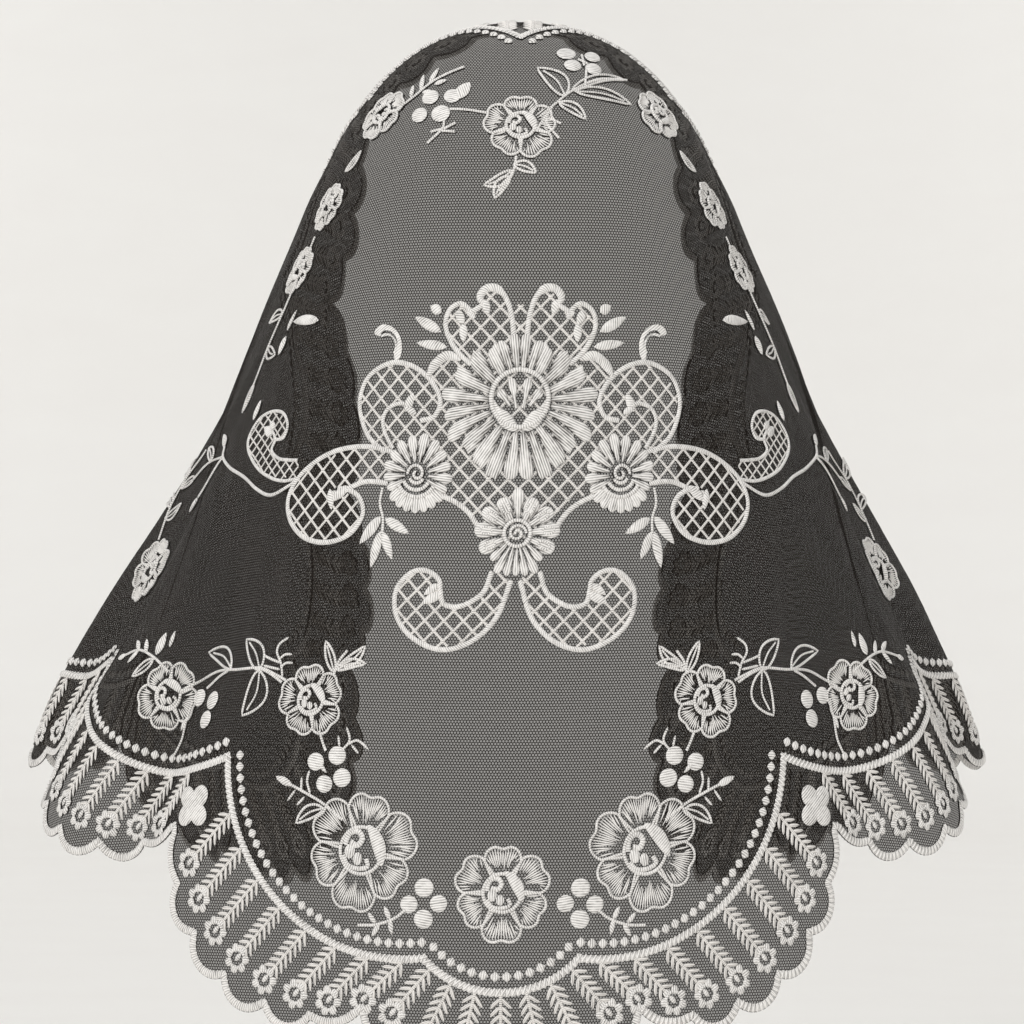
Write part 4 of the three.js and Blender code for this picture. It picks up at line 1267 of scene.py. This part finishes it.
for start, end, width in PODS:
    for side in (-1, 1):
        a, b = RING_MIDDLE + np.array(start) * (side, 1), RING_MIDDLE + np.array(end) * (side, 1)
        way = (b - a) / np.hypot(*(b - a))
        t = np.linspace(0, 1, 12)
        tip = np.sqrt(np.clip(1 - ((t - 0.8) / 0.2).clip(0) ** 2, 0, 1))
        half = width * (0.16 + 0.34 * smoothstep(t, 0.3, 0.8)) * tip
        spine = a + np.outer(t, b - a)
        edge = np.outer(half, (way[1], -way[0]))
        pad(blossom, np.vstack([spine + edge, (spine - edge)[::-1]]), 0.9, math.atan2(way[1], way[0]), 1.1)
lay_on_cloth(blossom, "great_blossom", SATIN, ["main_bloom"])

# %% The side rosettes: a fan of petals over a shell of curved rows
# Columns: angle in degrees, outer radius, half width in degrees.
FAN = [
    (206, 17.0, 9), (186, 18.0, 10), (165, 17.5, 10), (144, 18.0, 10), (123, 19.0, 10), (102, 19.5, 10.5),
    (80, 18.5, 10.5), (58, 18.5, 10), (37, 17.5, 10), (16, 18.0, 10), (-4, 17.5, 9.5), (-23, 16.5, 9),
]
SIDE_ROSETTE = np.array([49, 277])
side_rosettes = Board()
for side in (-1, 1):
    heart = flip([SIDE_ROSETTE])[0] * (side, 1) - (0, 1)
    for k, (angle, outer, half_width) in enumerate(FAN):
        turned = mirrored(angle, side)
        rise = 1.0 + 0.25 * (k % 2)
        petal(side_rosettes, heart, turned, 6.0, outer, math.radians(half_width), 1, 0, 0.5, 1.0, rise)
    for k in range(7):
        angle = math.radians(90 + side * (-131 - 96 * k / 6))
        spot = heart + toward(angle) * 14.0
        pad(side_rosettes, circle(spot, 2.7, 12, 1.4, angle), 0.9, angle, 1.1)
    for radius, width in ((10.2, 2.0), (7.0, 1.8), (3.8, 1.7)):
        sweep = np.radians(90 + side * np.linspace(-118, -242, 18))
        ribbon(side_rosettes, heart + polar(radius, sweep), width, 0.7, 1.5)
    turns = np.linspace(0, 2.4 * math.pi, 30)
    spiral = polar(np.linspace(4.6, 0.6, 30), turns) * (side, 1)
    ribbon(side_rosettes, heart + (0, 0.5) + spiral, 1.5, 0.7, 1.8)
lay_on_cloth(side_rosettes, "side_rosettes", SATIN, ["side_rosette_left", "side_rosette_right"])

# %% The base rosette: a plain flower of rounded petals, with a fringe below and a rolled heart
# Columns: angle in degrees, outer radius, half width in degrees, on the right half.
BASE_PETALS = [
    (90, 21, 9.5), (64, 18, 15), (34, 19.5, 14), (5, 20, 14), (-24, 19, 14), (-47, 17, 8),
    (-63, 20.5, 7), (-77, 20, 6), (-90, 19.5, 6),
]
BASE_MIDDLE = np.array([0, -304.5])
base = Board()
for k, (angle, outer, half_width) in enumerate(BASE_PETALS):
    for side in (1, -1) if abs(angle) < 90 else (1,):
        turned = mirrored(angle, side)
        rise = 1.0 + 0.25 * (k % 2)
        petal(base, BASE_MIDDLE, turned, 6.4, outer, math.radians(half_width), 1, 0, 0.6, 1.0, rise)
        if half_width > 12:
            spot = BASE_MIDDLE + 0.72 * outer * toward(turned)
            ribbon(base, circle(spot, 1.7, 12, 1.6, turned), 1.0, 0.5, 2.0, closed=True)
ribbon(base, circle(BASE_MIDDLE, 6.0, 28), 1.7, 0.8, 1.7, closed=True)
turns = np.linspace(0, 3.2 * math.pi, 36)
spiral = polar(np.linspace(4.2, 0.5, 36), turns)
ribbon(base, BASE_MIDDLE + spiral, 1.3, 0.6, 1.5)
lay_on_cloth(base, "base_rosette_stitches", SATIN, ["base_rosette"])

# %% The sprigs that hang from the side rosettes
SPRIG_STEM = [(67, 284), (68, 291), (66, 298), (66, 305)]
SPRIG_LEAVES = [
    ((67, 297), (78, 310), 5.4), ((67, 304), (71, 321), 5.0), ((66, 304), (60, 317), 4.6),
    ((65, 298), (52, 305), 5.0),
]
sprigs = Board()
for line in both(SPRIG_STEM):
    ribbon(sprigs, smooth_line(line), 1.4, 0.5, 0.4)
for root, tip, width in SPRIG_LEAVES:
    for a, b in both([root, tip]):
        satin_leaf(sprigs, a, b, width, 0.7, 0.9, 0.4)
lay_on_cloth(sprigs, "medallion_sprigs", SATIN)

# %% [markdown]
# ## Roses
# A garland of roses runs round the back. Their petals are open work: a cord follows each petal's rim and
# single threads run from the rim towards the heart, with dark net between them. Each petal is built from
# its rim and a fan of strands. The strands' lengths vary a little, from a fixed seed, as a machine's do.


# %% One rose
# The heart of a rose, in sevenths of its ring: a half-closed petal, a roll of cord and two buds.
HEART_PETAL = [
    (0.4, 7.6), (3.4, 7.2), (6.4, 4.8), (8.0, 1.0), (7.6, -3.0), (5.6, -1.6), (3.8, 1.0), (2.0, 4.0),
]
HEART_ROLL = [(-5.6, 0.6), (-4.8, 4.0), (-2.2, 5.2), (-0.4, 3.4), (-1.6, 1.2), (-4.0, 1.6)]
HEART_ARC = [(-5.4, -2.6), (-3.4, -5.0), (0, -5.4), (3.0, -4.2), (2.2, -2.0)]
HEART_BUDS = [((-3.6, -1.0), 1.7), ((-0.6, -2.6), 1.5)]


def rose(board, middle, radius, petals, turn=0.0, seed=1):
    """An open-work rose. Its petals have two lobes each."""
    rng = np.random.default_rng(seed)
    middle = np.asarray(middle, float)
    ring = 0.4 * radius
    half = math.pi / petals

    def rim(t, reach):
        return reach * (1 - 0.22 * np.abs(t) ** 3.5 - 0.07 * np.exp(-((t / 0.24) ** 2)))

    for k in range(petals):
        angle = turn + 2 * math.pi * k / petals
        reach = radius * (1.03 if k % 2 else 0.96)
        t = np.linspace(-1, 1, 21)
        side = np.linspace(ring, rim(1.0, reach), 5)[:-1]
        radii = np.concatenate([side, rim(t, reach), side[::-1]])
        edge = np.array([0.86, 0.9, 0.95, 0.99])
        outline = middle + polar(radii, angle + half * np.concatenate([-edge, t, edge[::-1]]))
        ribbon(board, outline, 1.25, 0.7, 0.75, slant=0.4)
        count = max(6, round(radius * half * 1.5 / 1.12))
        for s in np.linspace(-0.9, 0.9, count):
            start = ring + (reach - ring) * (0.12 + 0.42 * rng.random() * (0.5 + abs(s)))
            end = rim(s, reach) - 0.7
            inner = middle + polar(start, angle + half * s * 0.82)
            outer = middle + polar(end, angle + half * s * 0.96)
            ribbon(board, [inner, (inner + outer) / 2, outer], 1.0, 0.45, 0.5, taper=2.5, running=True)
    ribbon(board, circle(middle, ring * 0.98, 26), 1.7, 0.8, 0.9, closed=True)
    scale = ring / 7.0
    c, s = math.cos(turn - 1.6), math.sin(turn - 1.6)
    spin = scale * np.array([[c, s], [-s, c]])
    pad(board, middle + smooth_line(HEART_PETAL, 4, True) @ spin, 0.9, turn + 2.2, 1.3)
    ribbon(board, middle + smooth_line(HEART_ROLL, 4) @ spin, 1.8 * scale, 0.7, 0.8)
    ribbon(board, middle + smooth_line(HEART_ARC, 4) @ spin, 1.4 * scale, 0.6, 0.8)
    for spot, size in HEART_BUDS:
        bud = circle(middle + np.array(spot) @ spin, size * scale, 10, 1.3, turn)
        pad(board, bud, 0.7, turn, 0.8, (1, 0.7, 0))


# %% All the roses
# Columns: the solid it stands for, across and down, radius, petals and turn in degrees. Where across isn't
# nought there is a mirror image.
ROSES = [
    ("crown_rose", 0, 114, 17, 5, 90),
    ("crown_side_rose", 77, 94, 15.5, 5, 20),
    ("garland_rose", 97, 382, 17, 5, 80),
    ("hem_rose", 67, 449.5, 27, 6, 100),
    ("centre_rose", 0, 467.5, 22, 6, 90),
    ("shoulder_rose", 189, 375, 17, 5, 60),
]
roses = Board()
replaced = []
for n, (solid, across, down, radius, petals, turn) in enumerate(ROSES):
    for side in (-1, 1) if across else (1,):
        angle = math.radians(turn if side > 0 else 180 - turn)
        rose(roses, (side * across, -down), radius, petals, angle, n + 3)
    replaced += [solid + "_left", solid + "_right"] if across else [solid]
lay_on_cloth(roses, "roses", SATIN, replaced)

# %% Clovers in the corners of the border, closed with slanted satin stitch
clovers = Board()
for side in (-1, 1):
    middle = flip(CLOVER_PLACE) * (side, 1)
    for k in range(4):
        angle = math.radians(45 + 90 * k)
        spot = middle + 6.0 * toward(angle)
        pad(clovers, circle(spot, 4.9, 18, 1.12, angle), 0.95, math.radians(45), 0.5 + 0.05 * k)
    pad(clovers, circle(middle, 5.0, 16), 1.0, math.radians(45), 0.5)
lay_on_cloth(clovers, "clovers", SATIN, ["clover_left", "clover_right"])

# %% [markdown]
# ## Garland vines
# Stems, outlined leaves, feathery fronds and little round blossoms tie the roses together. Those of the
# garland and the sides are drawn on one half of the cut and mirrored. The sprays at the crown differ from
# left to right, so each of them has its own lines.

# %% Vines on one half, as (across, down) in millimetres from the middle line
STEMS = [
    [(112, 373), (119, 370), (128, 367), (143, 367), (159, 366), (171, 369), (180, 372)],
    [(149, 367), (156, 369), (165, 373)], [(128, 367), (121, 370), (114, 374)],
    [(91, 396), (89, 401), (87, 405)], [(77, 436), (87, 429), (95, 425), (104, 421), (112, 418)],
    [(44, 475), (50, 479.5), (59, 482.5), (68, 483)], [(190, 364), (201, 356), (214, 350), (228, 349)],
    [(175, 378), (178, 388), (180, 397), (185, 405)], [(86, 370), (84, 364), (80, 359)],
]
# A twig is a stem with short side branches: its line, then one line for each branch.
TWIGS = [
    [(114, 372), (116, 365), (119, 360), (118, 356), (113, 353)], [(116, 365), (122, 363), (127, 361)],
    [(116, 368), (121, 367), (126, 366)], [(117, 363), (114, 361), (110, 361)],
    [(116, 367), (113, 365), (109, 365)], [(79, 405), (75, 400), (77, 394)],
    [(76, 402), (71, 400), (65, 404)], [(80, 403), (81, 398)], [(74, 402), (70, 406)],
    [(99, 424), (99, 417)], [(102, 423), (106, 428)], [(97, 426), (101, 430)],
    [(94, 425), (96, 419), (95, 414)],
]
OUTLINED_LEAVES = [
    ((147, 366), (167, 356), 8.0, 0.12), ((128, 368), (139, 353), 9.0, 0.1),
    ((128, 368), (135, 389), 12.0, -0.16), ((87, 431), (101, 438), 6.0, 0.1),
    ((86, 369), (92, 355), 4.5, 0.0), ((83, 366), (71, 357), 4.8, 0.1),
    ((85, 368), (70, 365), 4.2, -0.1), ((201, 357), (213, 364), 5.0, 0.0),
]
SATIN_LEAVES = [
    ((104, 421), (113, 417), 3.6), ((214, 350), (220, 343), 3.0), ((207, 353), (210, 345), 3.0),
    ((214, 350), (222, 355), 3.0), ((228, 349), (235, 349), 3.2), ((200, 355), (196, 344), 5.4),
    ((192, 352), (190, 344), 2.6), ((178, 386), (181, 392), 2.4), ((52, 480), (51, 487), 2.6),
    ((57, 482), (61, 488), 2.6), ((52, 480), (55, 474), 2.6), ((59, 482), (63, 477), 2.4),
    ((91, 410), (86, 415), 2.2),
]
BLOSSOMS = [
    (92, 410, 4.1), (81, 407, 4.3), (78, 417, 4.3), (87, 420, 4.0),
    (170, 377, 4.2), (158, 380, 4.4), (161, 389, 4.4),
    (36, 465.5, 4.3), (29, 472.5, 3.9), (36, 479.5, 4.3), (43, 473, 4.0),
]

# %% Sprays at the crown. The machine sets them differently on the left and on the right.
# Here across is negative on the left.
CROWN_STEMS = [
    [(-16, 107), (-25, 105), (-34, 104)], [(-66, 97), (-55, 92), (-43, 84), (-27, 77)],
    [(-37, 110), (-38, 115), (-46, 122)], [(-37, 115), (-31, 112)], [(-38, 116), (-31, 117)],
    [(-38, 115), (-44, 116)], [(-2, 130), (-3, 136), (-5, 141), (-10, 147)],
    [(9, 109), (16, 102), (24, 94), (36, 86), (56, 79)], [(31, 90), (32, 78)],
    [(15, 103), (12, 112), (18, 121)], [(13, 107), (7, 117)], [(13, 110), (19, 113)],
    [(28, 71), (33, 74)], [(30, 67), (31, 76)],
]
CROWN_OUTLINED = [
    ((21, 97), (8, 79), 10.0, -0.12), ((26, 94), (57, 97), 7.0, 0.06), ((24, 94), (55, 80), 5.0, 0.1),
    ((18, 101), (31, 110), 5.6, 0.1), ((-3, 134), (7, 138), 5.0, 0.1),
    ((-4, 137), (-17, 144), 5.0, 0.1), ((-5, 140), (-12, 150), 5.0, -0.1),
]
CROWN_SATIN = [
    ((-57, 92), (-56, 83), 2.8), ((-51, 89), (-50, 77), 3.0), ((-46, 85), (-41, 75), 3.0),
    ((-43, 87), (-36, 85), 2.8), ((-50, 91), (-44, 91), 2.6), ((-31, 98), (-24, 88), 7.0),
]
CROWN_BLOSSOMS = [
    (-45, 95, 4.6), (-51, 105, 4.4), (-39, 106, 4.8), (-33, 96, 4.2),
    (22, 67, 4.6), (36, 67, 4.3), (25, 76, 4.2), (36, 77, 4.3),
]

# %% Faint sprays on the sheer sides: a rose, leaves and a few outlined flowers, with (across, down)
SIDE_ROSES = [(249, 288, 17, 6), (117, 133, 13, 6), (140, 160, 13, 6)]
SIDE_STEMS = [
    [(249, 270), (243, 252), (232, 238), (216, 230)], [(128, 146), (150, 178), (163, 196), (172, 214)],
    [(188, 250), (205, 244), (222, 246)],
]
SIDE_LEAVES = [
    ((243, 252), (252, 238), 6.0, 0.1), ((232, 238), (234, 222), 6.0, -0.1),
    ((246, 258), (232, 256), 6.0, 0.1), ((152, 181), (166, 178), 6.0, 0.1),
    ((163, 196), (152, 206), 6.0, 0.1), ((172, 214), (178, 228), 6.0, 0.0),
    ((104, 118), (92, 112), 5.0, 0.1), ((205, 244), (212, 232), 5.0, 0.1),
    ((222, 246), (236, 244), 5.0, 0.1),
]

# %% Stitching the vines
VINE_WIDTH = 1.35
TWIG_WIDTH = 1.2
CROWN_STEM_WIDTH = 1.25
vines = Board()


def blossom_disc(board, middle, radius, turn):
    """A small round blossom closed with level satin stitches."""
    pad(board, circle(middle, radius, 16, 1.06, turn), 0.8, turn, 0.45)


def outlined_leaf(board, a, b, width, bend):
    """A leaf with a corded rim and one vein."""
    a, b = np.asarray(a, float), np.asarray(b, float)
    ribbon(board, leaf(a, b, width, bend, 12), 1.25, 0.6, 0.5, closed=True)
    side = np.array([-(b - a)[1], (b - a)[0]])
    vein = [a, a + (b - a) * 0.45 + side * bend * 0.9, a + (b - a) * 0.86 + side * bend * 0.4]
    ribbon(board, smooth_line(vein, 4), 0.95, 0.5, 0.5)


for path in STEMS + SIDE_STEMS:
    for line in both(path):
        ribbon(vines, smooth_line(line, 5), VINE_WIDTH, 0.6, 0.5)
for path in TWIGS:
    for line in both(path):
        ribbon(vines, smooth_line(line, 5), TWIG_WIDTH, 0.55, 0.5, taper=1.0)
for root, tip, width, bend in OUTLINED_LEAVES + SIDE_LEAVES:
    for side, ends in zip((1, -1), both([root, tip])):
        outlined_leaf(vines, *ends, width, side * bend)
for root, tip, width in SATIN_LEAVES:
    for ends in both([root, tip]):
        satin_leaf(vines, *ends, width)
for n, (across, down, radius) in enumerate(BLOSSOMS):
    for side in (-1, 1):
        blossom_disc(vines, (side * across, -down), radius, 0.15 * (n % 3 - 1))
for path in CROWN_STEMS:
    ribbon(vines, smooth_line(flip(path), 5), CROWN_STEM_WIDTH, 0.6, 0.5)
for root, tip, width, bend in CROWN_OUTLINED:
    outlined_leaf(vines, *flip([root, tip]), width, bend)
for root, tip, width in CROWN_SATIN:
    satin_leaf(vines, *flip([root, tip]), width)
for n, (across, down, radius) in enumerate(CROWN_BLOSSOMS):
    blossom_disc(vines, (across, -down), radius, 0.3 * (n % 3 - 1))
for n, (across, down, radius, petals) in enumerate(SIDE_ROSES):
    for side in (-1, 1):
        rose(vines, (side * across, -down), radius, petals, 1.2 * side, n + 40)
lay_on_cloth(vines, "garland_vines", SATIN)
